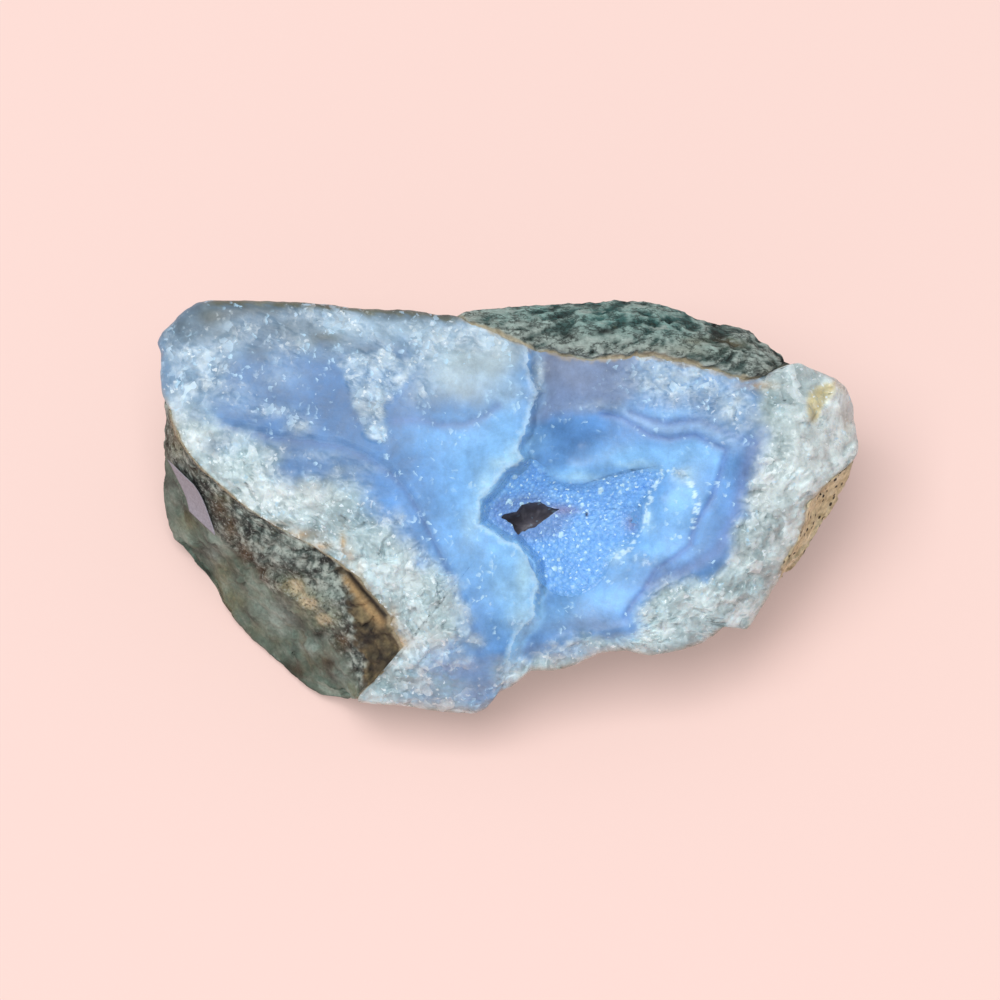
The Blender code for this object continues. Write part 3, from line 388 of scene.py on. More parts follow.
def linear(hex_colour):
    """Turn an sRGB hex colour into linear red, green and blue."""
    steps = np.array([int(hex_colour[k:k + 2], 16) for k in (1, 3, 5)]) / 255.0
    return np.where(steps <= 0.04045, steps / 12.92, ((steps + 0.055) / 1.055) ** 2.4)


def smooth(low, high, value):
    """Rise from 0 to 1 between low and high with level ends: 3 t squared less 2 t cubed."""
    share = np.clip((value - low) / (high - low), 0.0, 1.0)
    return share * share * (3.0 - 2.0 * share)


def blend(a, b, share):
    """Go a share of the way from a to b."""
    return a + (b - a) * share


def radius_at(outline, centre, angles):
    """Distance from the centre to a closed outline in each direction, by ray and segment."""
    start = outline - centre
    side = np.roll(start, -1, axis=0) - start
    ray = np.stack([np.cos(angles), np.sin(angles)], axis=-1)[:, None, :]
    cross = ray[..., 0] * side[:, 1] - ray[..., 1] * side[:, 0]
    cross = np.where(np.abs(cross) < 1e-9, 1e-9, cross)
    reach = (start[:, 0] * side[:, 1] - start[:, 1] * side[:, 0]) / cross
    share = (start[:, 0] * ray[..., 1] - start[:, 1] * ray[..., 0]) / cross
    met = (reach > 0.0) & (share >= -1e-6) & (share <= 1.0 + 1e-6)
    return np.where(met, reach, 0.0).max(axis=1)


def thin_plate(spots):
    """Smooth surface through spot heights: a plane plus r squared times log r at each spot."""
    count, places = len(spots), spots[:, :2]

    def kernel(a):
        """r squared times log r to each spot."""
        square = ((a[..., None, :] - places) ** 2).sum(axis=-1)
        return square * np.log(square + 1e-9)

    system = np.zeros((count + 3, count + 3))
    system[:count, :count] = kernel(places)
    system[:count, count:] = np.column_stack([np.ones(count), places])
    system[count:, :count] = system[:count, count:].T
    weights = np.linalg.solve(system, np.concatenate([spots[:, 2], np.zeros(3)]))

    def height(points):
        """Height of the surface at plan points."""
        return kernel(points) @ weights[:count] + weights[count] + points @ weights[count + 1:]

    return height


def apart_from(points, line):
    """Distance to an open line, and the side of its nearest segment, positive on the left."""
    side = line[1:] - line[:-1]
    rel = points[..., None, :] - line[:-1]
    share = np.clip((rel * side).sum(-1) / (side * side).sum(-1), 0.0, 1.0)
    apart = ((rel - share[..., None] * side) ** 2).sum(-1)
    turn = side[:, 0] * rel[..., 1] - side[:, 1] * rel[..., 0]
    best = apart.argmin(axis=-1)[..., None]
    distance = np.sqrt(np.take_along_axis(apart, best, axis=-1))[..., 0]
    return distance, np.sign(np.take_along_axis(turn, best, axis=-1)[..., 0])


def signed_distance(points, line):
    """Distance to a line, positive where a ray to the left meets it an odd number of times."""
    start, end = line[:-1], line[1:]
    side = end - start
    rise = np.where(np.abs(side[:, 1]) < 1e-9, 1e-9, side[:, 1])
    v = points[..., None, 1]
    spans = (start[:, 1] > v) != (end[:, 1] > v)
    meets = start[:, 0] + (v - start[:, 1]) * side[:, 0] / rise
    odd = (spans & (meets < points[..., None, 0])).sum(axis=-1) % 2 == 1
    apart, _ = apart_from(points, line)
    return np.where(odd, apart, -apart)


def beyond_step(points):
    """Signed distance from the broken step, positive on its low right side."""
    return signed_distance(points, STEP)


def inside(points, outline):
    """Signed distance from a closed outline, positive inside."""
    return signed_distance(points, np.vstack([outline, outline[:1]]))


def patches(points, spots, right=None):
    """Cover of soft patches: one less the product of one less each bell curve.

    With right given, only patches whose middle lies on that side of the step count.
    """
    if right is not None:
        spots = spots[(beyond_step(spots[:, :2]) > 0.0) == right]
    rel = (points[..., None, :] - spots[:, :2]) / spots[:, 2:4]
    bell = spots[:, 4] * np.exp(-(rel ** 2).sum(axis=-1))
    return 1.0 - np.prod(1.0 - bell, axis=-1)


def lattice(at, seed):
    """Even random numbers from 0 to 1 for whole-number places, by integer mixing."""
    x, y, z = (at[..., k].astype(np.uint32) for k in range(3))
    mixed = x * np.uint32(374761393) + y * np.uint32(668265263) + z * np.uint32(1442695041)
    mixed = mixed + np.uint32(seed * 9746347 + 17)
    mixed = (mixed ^ (mixed >> np.uint32(13))) * np.uint32(1274126177)
    mixed = (mixed ^ (mixed >> np.uint32(16))) * np.uint32(2246822519)
    return (mixed ^ (mixed >> np.uint32(15))).astype(np.float64) / 4294967296.0


def swell(points, size, seed):
    """Smooth noise from -1 to 1 with lumps of the given size, mixed from eight lattice values."""
    place = points / size + 1000.0
    low = np.floor(place)
    share = smooth(0.0, 1.0, place - low)
    low = low.astype(np.int64)
    total = np.zeros(points.shape[:-1])
    for corner in range(8):
        step = np.array([corner & 1, corner >> 1 & 1, corner >> 2 & 1])
        weight = np.prod(np.where(step == 1, share, 1.0 - share), axis=-1)
        total += weight * lattice(low + step, seed)
    return 2.0 * total - 1.0


def layered(points, size, layers, seed):
    """Noise of several sizes: each layer half as large and half as strong as the last."""
    total = np.zeros(points.shape[:-1])
    for layer in range(layers):
        total += swell(points, size / 2.0 ** layer, seed + layer) * 0.5 ** layer
    return total / (2.0 - 0.5 ** (layers - 1))


def bent(points, size, amount, seed):
    """Points pushed about by smooth noise, so that patterns laid on them lose their evenness."""
    push = [layered(points, size, 2, seed + 3 * k) for k in range(3)]
    return points + amount * np.stack(push, axis=-1)


def facets(points, size, seed, slope, step):
    """Broken facets: each cell round a jittered point is a flat plane with its own level and tilt.

    The height is step times a random level plus slope times a random direction dotted with
    the offset from the cell's point, all in units of size. Also gives each cell's tone.
    """
    place = points / size + 1000.0
    low = np.floor(place).astype(np.int64)
    nearest = np.full(points.shape[:-1], 99.0)
    height, tone = np.zeros((2, *points.shape[:-1]))
    for cell in range(27):
        at = low + np.array([cell % 3 - 1, cell // 3 % 3 - 1, cell // 9 - 1])
        rel = place - at - np.stack([lattice(at, seed + k) for k in range(3)], axis=-1)
        square = (rel ** 2).sum(axis=-1)
        lean = np.stack([lattice(at, seed + k) for k in range(3, 6)], axis=-1) - 0.5
        level = lattice(at, seed + 6)
        closer = square < nearest
        nearest = np.where(closer, square, nearest)
        height = np.where(closer, step * (level - 0.5) + slope * (rel * lean).sum(axis=-1), height)
        tone = np.where(closer, level, tone)
    return height * size, tone


LEFT_HEIGHT = thin_plate(LEFT_SPOTS)
RIGHT_HEIGHT = thin_plate(RIGHT_SPOTS)
ROCK_HEIGHT = thin_plate(ROCK_SPOTS)


def face_height(points, ragged=0.0):
    """Depth w of the face: the left surface, dropping to the right one across the step.

    Part of the drop is spread over the next nine millimetres, most of it at the step's ends.
    """
    beyond = beyond_step(points)
    v = points[..., 1]
    spread = blend(0.3, 0.6, np.maximum(smooth(10.0, 18.0, v), smooth(-13.0, -19.0, v)))
    left, right = LEFT_HEIGHT(points), RIGHT_HEIGHT(points)
    lower = blend(right, left, spread * smooth(9.0, 0.0, beyond))
    return blend(left, lower, smooth(-0.3, STEP_WIDTH, beyond + ragged))


def nearest_place(line, point):
    """Place on a line that is closest to a point."""
    return int(np.hypot(*(line - point).T).argmin())


def filling_outline():
    """Join the stone's outline with the stretches where the filling's edge runs inside it."""
    turned = np.roll(OUTLINE, -1 - nearest_place(OUTLINE, FILLING_LOWER_LEFT[0]), axis=0)
    parts = []
    at = 0
    for edge in (FILLING_UPPER_RIGHT, FILLING_RIGHT, FILLING_LOWER_LEFT):
        parts += [turned[at:nearest_place(turned, edge[-1])], edge[::-1]]
        at = nearest_place(turned, edge[0]) + 1
    return np.concatenate(parts)


def even_angles(outline, centre, count):
    """Directions that are evenly spaced along a closed outline, by its running length."""
    fine = np.linspace(0.0, 2.0 * math.pi, 6000)
    spots = ring(centre, radius_at(outline, centre, fine), fine)
    run = np.concatenate([[0.0], np.cumsum(np.hypot(*np.diff(spots, axis=0).T))])
    return np.interp(np.linspace(0.0, run[-1], count, endpoint=False), run, fine)


def softened(radius, reach):
    """Round the corners of a closed ring of radii with a running mean over reach neighbours."""
    window = np.ones(2 * reach + 1) / (2 * reach + 1)
    wrapped = np.concatenate([radius[-reach:], radius, radius[:reach]])
    return np.convolve(wrapped, window, mode="valid")


def ring(centre, radius, angles):
    """One plan point in each direction."""
    return centre + radius[..., None] * np.stack([np.cos(angles), np.sin(angles)], axis=-1)


def from_centre(points):
    """Distance of points from the centre in plan."""
    return np.hypot(points[..., 0] - CENTRE[0], points[..., 1] - CENTRE[1])


def raised(plan, w):
    """Plan points with their depth added."""
    return np.concatenate([plan, np.broadcast_to(w, plan.shape[:-1])[..., None]], axis=-1)


def normals(rows):
    """Outward unit normals of a stack of rings, from the cross product of its two directions."""
    across = np.roll(rows, -1, axis=1) - np.roll(rows, 1, axis=1)
    normal = np.cross(np.gradient(rows, axis=0), across)
    return normal / (np.linalg.norm(normal, axis=-1, keepdims=True) + 1e-12)


class Rings:
    """Directions, radii and depths that the filling and the rock share."""

    def __init__(self):
        self.angles = even_angles(OUTLINE, CENTRE, STATIONS)
        outer = softened(radius_at(OUTLINE, CENTRE, self.angles), 1)
        filling = radius_at(filling_outline(), CENTRE, self.angles)
        uneven = raised(ring(CENTRE, outer, self.angles), 0.0)
        self.wrapped = softened(smooth(1.6, 0.5, outer - filling), 3)
        self.outer = outer + 0.3 * layered(uneven, 2.2, 3, 5) - 0.1
        filling = softened(filling, 7) + 0.6 * layered(uneven, 2.2, 4, 11)
        self.inner = blend(np.minimum(filling, self.outer), self.outer, self.wrapped)
        self.edge = ring(CENTRE, self.inner, self.angles)
        uneven_skirt = 1.0 + 0.25 * layered(raised(self.edge, 0.0), 6.0, 3, 21)
        self.rounding = blend(0.4, EDGE_ROUND, self.wrapped)
        self.edge_depth = face_height(self.edge) - 0.6 * self.rounding
        skirt = np.interp(np.degrees(self.angles), *WRAP_DEPTH.T) * uneven_skirt
        self.low = self.edge_depth - skirt
        self.hole = softened(radius_at(HOLE, HOLE_CENTRE, self.angles), 1)
        self.crust = softened(radius_at(CRUST, HOLE_CENTRE, self.angles), 5)


def growth_distance(points):
    """Signed distance from the main growth band of each side of the step, for faint banding."""
    left, left_side = apart_from(points, LONG_BAND)
    right, right_side = apart_from(points, INNER_GROOVE)
    return np.where(beyond_step(points) > 0.0, right * right_side, left * left_side)


def valley(points, line, width):
    """Bell curve across a line."""
    return np.exp(-(apart_from(points, line)[0] / width) ** 2)


def sugar_share(points, uneven):
    """Share of sugary quartz: inside either quartz outline, with a ragged soft border."""
    left = smooth(-4.0, 3.5, inside(points, QUARTZ_LEFT) + 3.0 * uneven)
    right = smooth(-2.5, 2.0, inside(points, QUARTZ_RIGHT) + 2.2 * uneven)
    return np.maximum(left, right) * (1.0 - 0.65 * patches(points, BLUISH_QUARTZ_PATCHES))


def frost_share(points, uneven):
    """Share of broken, frosted chalcedony: the chip, the upper left and the frosted patches."""
    u, v = points[..., 0], points[..., 1]
    chip = smooth(-0.8, 0.8, inside(points, CHIP) + 1.3 * uneven)
    upper = smooth(29.0, 36.0, v + 3.0 * uneven) * smooth(0.0, -10.0, u)
    outer = smooth(-60.0, -66.0, u + 3.0 * uneven) * smooth(18.0, 24.0, v)
    share = np.maximum(0.9 * chip, patches(points, FROST_PATCHES)) + 0.45 * np.maximum(upper, outer)
    return np.clip(share, 0.0, 1.0) * (1.0 - 0.8 * patches(points, GREY_PATCHES))


def face_surface(points):
    """Depth of the finished face, its sugar and frost shares and the tone of its facets.

    Adds to the face's main form: tilted facets where it is quartz or frosted, a gentle swell
    where it is blue, bell curves across the growth lines, and a ragged edge along the step.
    """
    flat = raised(points, 0.0)
    uneven = layered(flat, 3.2, 4, 31)
    depth = face_height(points, 0.7 * layered(flat, 2.4, 3, 41))
    sugar = sugar_share(points, uneven)
    frost = frost_share(points, uneven)
    pushed = bent(flat, 2.6, 1.4, 45)
    large, large_tone = facets(pushed, 4.2, 51, 0.6, 0.2)
    small, small_tone = facets(pushed, 1.7, 61, 0.75, 0.3)
    depth += 0.8 * np.maximum(sugar, 0.65 * frost) * (large + small)
    depth += (1.0 - sugar) * 0.22 * layered(flat, 8.0, 3, 71)
    depth += sum(height * valley(points, line, width) for line, height, width in RELIEF)
    return depth, sugar, frost, 0.55 * large_tone + 0.45 * small_tone


def lay(colour, *coats):
    """Mix coats into a colour in turn: each is a tone, hex or one colour a point, and its share."""
    for tone, share in coats:
        tone = linear(tone) if isinstance(tone, str) else tone
        colour = blend(colour, tone, np.clip(share, 0.0, 1.0)[..., None])
    return colour


def plain(tone, points):
    """One tone for every point."""
    return np.broadcast_to(linear(tone), points.shape[:-1] + (3,)).copy()


def blue_colour(points, uneven, right):
    """Colour of the blue chalcedony on one side of the step: soft tones, then growth lines."""
    u, v = points[..., 0], points[..., 1]
    beyond = beyond_step(points)

    def cover(spots):
        """Cover of soft patches on this side of the step, with uneven borders."""
        return patches(points + 1.2 * uneven[..., None], spots, right)

    colour = plain("#6098D6", points)
    depths = [
        ("#4C80BA", cover(DEEP_PATCHES)), ("#8AC8FD", cover(LIGHT_PATCHES)),
        ("#7C96BA", 0.8 * cover(LAVENDER_PATCHES)),
    ]
    ice = ("#B4E4FF", cover(ICE_PATCHES))
    if right:
        veil = smooth(-1.8, 1.8, inside(points, GREY_VEIL) + 1.5 * uneven)
        between = valley(points, INNER_GROOVE, 2.2) * valley(points, OUTER_GROOVE, 2.2)
        # Painted light: the step's wall, from its brink to about 3 mm beyond, is laid pale blue to hide
        # the shade it stands in, strongly below v = 12 and faintly above v = 20
        painted_cliff_light = smooth(-0.6, 0.0, beyond) * smooth(2.9, 1.2, beyond)
        beads = np.max([valley(points, line, 0.7) for line in BEADED_LINES], axis=0)
        grains = smooth(0.0, 0.25, layered(raised(points, 0.0), 0.6, 2, 83))
        return lay(
            colour, *depths, ("#7389AE", 0.9 * veil), ("#808698", 0.6 * cover(WARM_GREY_PATCHES)), ice,
            ("#A3CBF7", 1.3 * between), ("#507BBC", 0.85 * valley(points, INNER_GROOVE, 0.75)),
            ("#5B84C2", 0.8 * valley(points, OUTER_GROOVE, 0.7)),
            ("#6E8AC2", 0.6 * valley(points, EDGE_BAND, 1.5)),
            ("#98D2FF", painted_cliff_light * blend(0.7, 0.12, smooth(12.0, 20.0, v))),
            ("#CDEEFF", 0.85 * smooth(0.2, 0.7, beads) * grains),
        )
    far = smooth(-14.0, -34.0, u + 4.0 * uneven) * smooth(2.0, 14.0, v)
    upper = np.maximum(smooth(27.0, 35.0, v + 3.0 * uneven), smooth(-57.0, -68.0, u + 4.0 * uneven))
    # Painted highlight: paler blue along the upper side of the step's brink, below v = 18 to 26
    rim = smooth(-1.6, -0.3, beyond) * smooth(26.0, 18.0, v)
    return lay(
        colour, ("#4B7BB0", far), ("#5F86AC", 0.9 * upper), *depths, ("#AFC6CF", cover(MILKY_PATCHES)),
        ("#4F5750", cover(GREY_PATCHES)), ice, ("#84CBFF", 0.75 * rim),
        ("#4A76AE", 0.75 * valley(points, LONG_BAND, 0.8)),
        ("#6A88BC", 0.6 * valley(points, UPPER_BAND, 1.0)),
    )


def quartz_colour(points, tone):
    """Colour of the quartz: grey-white with whiter and greyer patches, each facet its own shade."""
    colour = lay(
        plain("#B4CBD1", points), ("#CFDEDE", 0.8 * smooth(36.0, 54.0, points[..., 0])),
        ("#95ADB2", patches(points, GREY_QUARTZ_PATCHES)),
        ("#EAF4F4", 0.85 * patches(points, WHITE_QUARTZ_PATCHES)),
        ("#8399BE", patches(points, BLUISH_QUARTZ_PATCHES)),
    )
    return colour * (0.86 + 0.28 * tone)[..., None]


def filling_colours(rows, rings, sugar, frost, tone):
    """Colours of the filling as they are left and right of the step, one array each.

    Blue first, then frost, quartz, the stain and gold films, a tan rind where the filling
    meets bare rock, smoky films and slivers of rock on the upper edge, and a tan lower hem.
    """
    points = rows[..., :2]
    v = points[..., 1]
    uneven = layered(rows, 3.2, 4, 31)
    flecks = layered(rows, 1.3, 3, 81)
    reach = rings.inner - from_centre(points)
    rind = smooth(1.1, 0.2, reach + 1.2 * flecks) * (1.0 - rings.wrapped)
    hem = smooth(1.2, -0.4, reach + 0.5 * flecks) * rings.wrapped * smooth(-8.0, -14.0, v)
    film = smooth(2.2, 0.5, reach + 1.6 * flecks) * rings.wrapped * smooth(30.0, 37.0, v)
    coats = [
        ("#9AB6CC", frost * (0.75 + 0.35 * flecks + 0.2 * tone)),
        ("#D5E6F1", smooth(0.55, 1.0, frost) * (0.7 * flecks + 0.4 * tone)),
        (quartz_colour(points, tone), sugar),
        ("#CDBE86", 0.85 * smooth(-0.8, 0.8, inside(points, STAIN) + uneven)),
        ("#BF9A60", patches(points, GOLD_PATCHES) * (0.85 + 0.5 * flecks)),
        ("#ADA083", (0.75 + 0.5 * flecks) * rind),
        ("#6B6C55", 0.85 * film * smooth(-68.0, -62.0, points[..., 0])),
        ("#434B42", patches(points, SLIVERS) * (0.9 + 0.5 * flecks)),
        ("#BFA57C", 0.6 * hem),
    ]
    return [lay(blue_colour(points, uneven, right), *coats) for right in (False, True)]


def bowl_rows(rings, low, shelf_drop, drop):
    """Rings of the bowl from its shelf to near its middle, lowered by the two drops.

    The depth goes from the rim's to the bottom's by one less the ring's share to the power 2.6.
    """
    rows = [raised(ring(CENTRE, rings.inner * SHELF, rings.angles), low - shelf_drop)]
    for share in (0.8, 0.6, 0.4, 0.2):
        plan = ring(CENTRE, rings.inner * share, rings.angles)
        rows.append(raised(plan, blend(low - 1.0, -BOWL_DEPTH, 1.0 - share ** 2.6) - drop))
    return rows


def hidden_rows(rings):
    """Walls of the dark pocket, a narrowing, drifting shaft, then the rings under the crust."""
    rows = []
    for share, w, drift in POCKET:
        plan = ring(HOLE_CENTRE, rings.hole * share, rings.angles) + np.array([0.3 * drift, drift])
        rows.append(raised(plan, w + 0.6 * layered(raised(plan, w), 2.2, 3, 91)))
    for share in np.linspace(0.0, 1.0, 6):
        plan = ring(HOLE_CENTRE, blend(1.12 * rings.hole, rings.crust - 0.5, share), rings.angles)
        rows.append(raised(plan, face_height(plan) - 0.9 + 0.6 * share ** 4))
    return np.array(rows)


def face_rows(rings):
    """Rings of the open face with their sugar and frost shares and tones.

    They lie at even shares from the crust's edge to the filling's edge. The last
    millimetres turn down as a quarter ellipse.
    """
    start = ring(HOLE_CENTRE, rings.crust, rings.angles)
    turn = ring(CENTRE, rings.inner - rings.rounding, rings.angles)
    rows = [blend(start, turn, share) for share in np.linspace(0.0, 1.0, FACE_RINGS)]
    for angle in np.linspace(0.0, math.pi / 2.0, 6)[1:]:
        radius = rings.inner - rings.rounding * (1.0 - math.sin(angle))
        rows.append(ring(CENTRE, radius, rings.angles))
    plan = np.array(rows)
    depth, sugar, frost, tone = face_surface(plan)
    away = np.clip(1.0 - (rings.inner - from_centre(plan)) / rings.rounding, 0.0, 1.0)
    depth = depth - rings.rounding * 0.6 * (1.0 - np.sqrt(1.0 - 0.999 * away ** 2))
    return raised(plan, depth), sugar, frost, tone


def side_rows(rings, edge):
    """Wrapped side under the edge, then the bowl-shaped underside."""
    low = np.minimum(rings.low, edge[:, 2] - 0.6)
    rows = [raised(rings.edge, blend(edge[:, 2], low, share)) for share in (0.2, 0.4, 0.6, 0.8, 1.0)]
    return np.array(rows + bowl_rows(rings, low, 1.0, 0.0))


def closed_mesh(name, rows, ends=None, soft=True):
    """Make one closed mesh object from a stack of rings.

    Patch corners are worked out as whole arrays: ring i, station j and their next ones. The
    two end points close it, or without them the last ring joins the first.
    """
    count, stations = rows.shape[:2]
    patch_rows = count if ends is None else count - 1
    i, j = np.meshgrid(np.arange(patch_rows), np.arange(stations), indexing="ij")
    down, across = (i + 1) % count, (j + 1) % stations
    corners = [i * stations + j, down * stations + j, down * stations + across, i * stations + across]
    faces = np.stack(corners, axis=-1).reshape(-1, 4).tolist()
    points = rows.reshape(-1, 3)
    if ends is not None:
        points = np.vstack([points, *ends])
        station = np.arange(stations)
        after = (station + 1) % stations
        last = (count - 1) * stations
        first_end = np.full(stations, count * stations)
        faces += np.stack([first_end, station, after], axis=-1).tolist()
        faces += np.stack([first_end + 1, last + after, last + station], axis=-1).tolist()
    mesh = bpy.data.meshes.new(name)
    mesh.from_pydata(world(points).tolist(), [], faces)
    mesh.polygons.foreach_set("use_smooth", np.full(len(faces), soft))
    mesh.update()
    return link(name, mesh)


def link(name, data):
    """Add an object with its data to the scene."""
    thing = bpy.data.objects.new(name, data)
    bpy.context.scene.collection.objects.link(thing)
    return thing


def filled_up(values, piece):
    """Repeat the first row of values for the end points of a mesh."""
    missing = len(piece.data.vertices) - len(values)
    return np.concatenate([values, np.repeat(values[:1], missing, axis=0)])


def paint(piece, name, colour):
    """Store a colour for each point of the mesh."""
    flat = filled_up(np.clip(colour.reshape(-1, 3), 0.0, 1.0), piece)
    full = np.concatenate([flat, np.ones((len(flat), 1))], axis=1)
    layer = piece.data.color_attributes.new(name, "FLOAT_COLOR", "POINT")
    layer.data.foreach_set("color", full.ravel().astype(np.float32))


def mark(piece, **shares):
    """Store named numbers for each point of the mesh."""
    for name, values in shares.items():
        layer = piece.data.attributes.new(name, "FLOAT", "POINT")
        layer.data.foreach_set("value", filled_up(values.ravel(), piece).astype(np.float32))


def make_filling(rings):
    """The blue and white filling as one closed mesh with its colours and shares."""
    hidden = hidden_rows(rings)
    face, sugar, frost, tone = face_rows(rings)
    under = side_rows(rings, face[-1])
    rows = np.concatenate([hidden, face, under])
    piece = closed_mesh("chalcedony_filling", rows, [POCKET_END, (*CENTRE, -BOWL_DEPTH)])
    before, after = np.zeros(hidden.shape[:2]), np.ones(under.shape[:2])
    sugar = np.concatenate([before, sugar, after * np.maximum(sugar[-1:], 0.5)])
    frost = np.concatenate([before, frost, after * frost[-1:]])
    tone = np.concatenate([before + 0.5, tone, after * 0.5])
    shaft = rows[:len(POCKET)]
    # Painted shade: the pocket's walls are laid darker towards its bottom
    walls = lay(
        plain("#8C8FA4", shaft), ("#6E6C76", smooth(-12.0, -15.5, shaft[..., 2])),
        ("#A9A9B2", 0.7 * smooth(0.0, 0.5, layered(shaft, 1.5, 3, 97))),
    )
    for name, colour in zip(("tint", "tint_low"), filling_colours(rows, rings, sugar, frost, tone)):
        colour[:len(POCKET)] = walls
        paint(piece, name, colour)
    plan = rows[..., :2]
    mark(piece, brink=beyond_step(plan), growth=growth_distance(plan), sugar=sugar, frost=frost)
    return piece


def crystal_field(plan):
    """Sugary crystals: the highest of six-sided pyramids on a jittered grid.

    Each pyramid's height falls with the largest of three distances across its faces, turned
    by a random angle and leaning a little. Also gives the number of the pyramid on top.
    """
    place = plan / CRYSTAL_SIZE + 500.0
    low = np.floor(place).astype(np.int64)
    best = np.full(plan.shape[:-1], -9.0)
    name = np.zeros(plan.shape[:-1])
    for cell in range(9):
        at = low + np.array([cell % 3 - 1, cell // 3 - 1])
        draw = [lattice(raised(at, 0), 301 + k) for k in range(7)]
        rel = place - at - np.stack(draw[:2], axis=-1)
        lean = np.stack(draw[2:4], axis=-1) - 0.5
        across = np.zeros(plan.shape[:-1])
        for side in range(3):
            turn = draw[4] * math.pi + side * math.pi / 3.0
            across = np.maximum(across, np.abs(rel[..., 0] * np.cos(turn) + rel[..., 1] * np.sin(turn)))
        height = 0.35 + 0.9 * draw[5] ** 3 - 1.1 * across + 0.9 * (rel * lean).sum(axis=-1)
        higher = height > best
        best = np.where(higher, height, best)
        name = np.where(higher, draw[6], name)
    return best, name


def crust_colour(plan, height, name, inward):
    """Blue crystals with painted shade low between them, painted highlight on their tips and a few
    painted white sparkles, blending into the blue round them.
    """
    uneven = layered(raised(plan, 0.0), 3.2, 4, 31)
    near_hole = np.hypot(plan[..., 0] / 6.8, plan[..., 1] / 4.0)
    crystals = lay(
        plain("#76B2F2", plan), ("#629FE8", 0.7 * patches(plan, CRUST_DEEP)),
        # Painted shade low between the crystals and painted highlight at their tips
        ("#5793DF", 0.4 * smooth(0.1, -0.3, height)), ("#9CCFFB", 0.5 * smooth(0.25, 0.8, height)),
        ("#6F82B0", 0.5 * smooth(1.5, 0.9, near_hole + 0.3 * uneven)),
        ("#8489B4", patches(plan, CRUST_LILAC)), ("#1E2338", patches(plan, CRUST_PIT_SHADE)),
    )
    # Painted sparkles: a few of the taller crystals, more in the crowded patches, are laid near-white
    sparkle_threshold = 0.965 - 0.05 * patches(plan, CRUST_SPARKLE_CROWDS)
    white = smooth(0.0, 0.01, name - sparkle_threshold) * smooth(0.0, 0.3, height) * smooth(1.6, 2.6, inward)
    return lay(
        blue_colour(plan, uneven, True), (crystals, smooth(0.9, 3.3, inward + 0.8 * uneven)),
        ("#C4ECFF", 0.9 * white),
    )


def make_crust():
    """The crust of crystals: a ring-shaped sheet from the hole's rim to a hidden outer border.

    Its rings lie at even shares between the two, at the face's depth plus the crystals' height,
    and sink under the filling along the border.
    """
    angles = even_angles(CRUST, HOLE_CENTRE, CRUST_STATIONS)
    hole = softened(radius_at(HOLE, HOLE_CENTRE, angles), 2)
    hole = hole + 0.3 * layered(raised(ring(HOLE_CENTRE, hole, angles), 0.0), 1.0, 2, 99)
    edge = softened(radius_at(CRUST, HOLE_CENTRE, angles), 2)
    edge = edge + 0.3 * layered(raised(ring(HOLE_CENTRE, edge, angles), 0.0), 1.6, 2, 95)
    share = np.linspace(0.0, 1.0, CRUST_RINGS)[:, None]
    border = ring(HOLE_CENTRE, edge, angles)
    along = np.roll(border, -1, axis=0) - np.roll(border, 1, axis=0)
    outward = np.stack([along[:, 1], -along[:, 0]], axis=-1) / np.hypot(*along.T)[:, None]
    plan = blend(ring(HOLE_CENTRE, hole, angles), border + HIDDEN_BORDER * outward, share[..., None])
    inward = inside(plan, CRUST) + HIDDEN_BORDER
    height, name = crystal_field(plan)
    depth = face_surface(plan)[0]
    fade = smooth(0.6, 2.4, inward) * smooth(0.0, 0.05, share)
    lift = CRYSTAL_HEIGHT * height * (0.15 + 0.85 * fade)
    rows = list(raised(plan, depth - 0.1 + lift - HIDDEN_BORDER * smooth(0.9, 0.3, inward)))
    for place in (1.0, 0.66, 0.33, 0.0):
        back = ring(HOLE_CENTRE, blend(hole * 1.12, edge, place), angles)
        rows.append(raised(back, face_height(back) - CRUST_THICKNESS - 0.3 * place))
    for drop in (1.0, 0.7, 0.35):
        rows.append(raised(plan[0] * (1.0 + 0.05 * drop), depth[0] - drop))
    piece = closed_mesh("quartz_druse", np.array(rows), soft=False)
    back_colour = plain("#5A6080", np.array(rows[CRUST_RINGS:]))
    paint(piece, "tint", np.concatenate([crust_colour(plan, height, name, inward), back_colour]))
    return piece


def leafy_relief(points):
    """Crumpled leaves of the upper rock: sharp-crested noise drawn out along one direction.

    Crests are one less twice the absolute value of noise, read on a plan turned by 26 degrees
    and stretched along the leaves.
    """
    turn = math.radians(26.0)
    along = points[..., 0] * math.cos(turn) + points[..., 1] * math.sin(turn)
    across = points[..., 1] * math.cos(turn) - points[..., 0] * math.sin(turn)
    drawn = bent(np.stack([along / 2.6, across, 0.7 * points[..., 2]], axis=-1), 3.0, 1.1, 211)
    coarse = 1.0 - 2.0 * np.abs(layered(drawn, 2.8, 2, 221))
    fine = 1.0 - 2.0 * np.abs(layered(drawn, 1.0, 2, 231))
    return 0.65 * coarse + 0.35 * fine


def rock_zones(points):
    """Shares of the kinds of bare rock by where they lie: a dictionary of soft masks."""
    uneven = layered(points, 4.0, 4, 131)
    ragged = 1.8 * uneven + 1.6 * layered(points, 1.6, 3, 133)
    zones = {"uneven": uneven}
    for name, outline, border, push, low, high in (
        ("gritty", GRITTY_BAND, 1.2, 1.6 * uneven, -24.0, -16.0),
        ("wedge", BROWN_WEDGE, 0.8, ragged, -26.0, -18.0),
        ("top", LEAFY_TOP, 1.0, uneven, -26.0, -16.0),
        ("strip", TAN_STRIP, 1.0, uneven, -30.0, -22.0),
    ):
        within = smooth(-border, border, inside(points[..., :2], outline) + push)
        zones[name] = within * smooth(low, high, points[..., 2])
    return zones


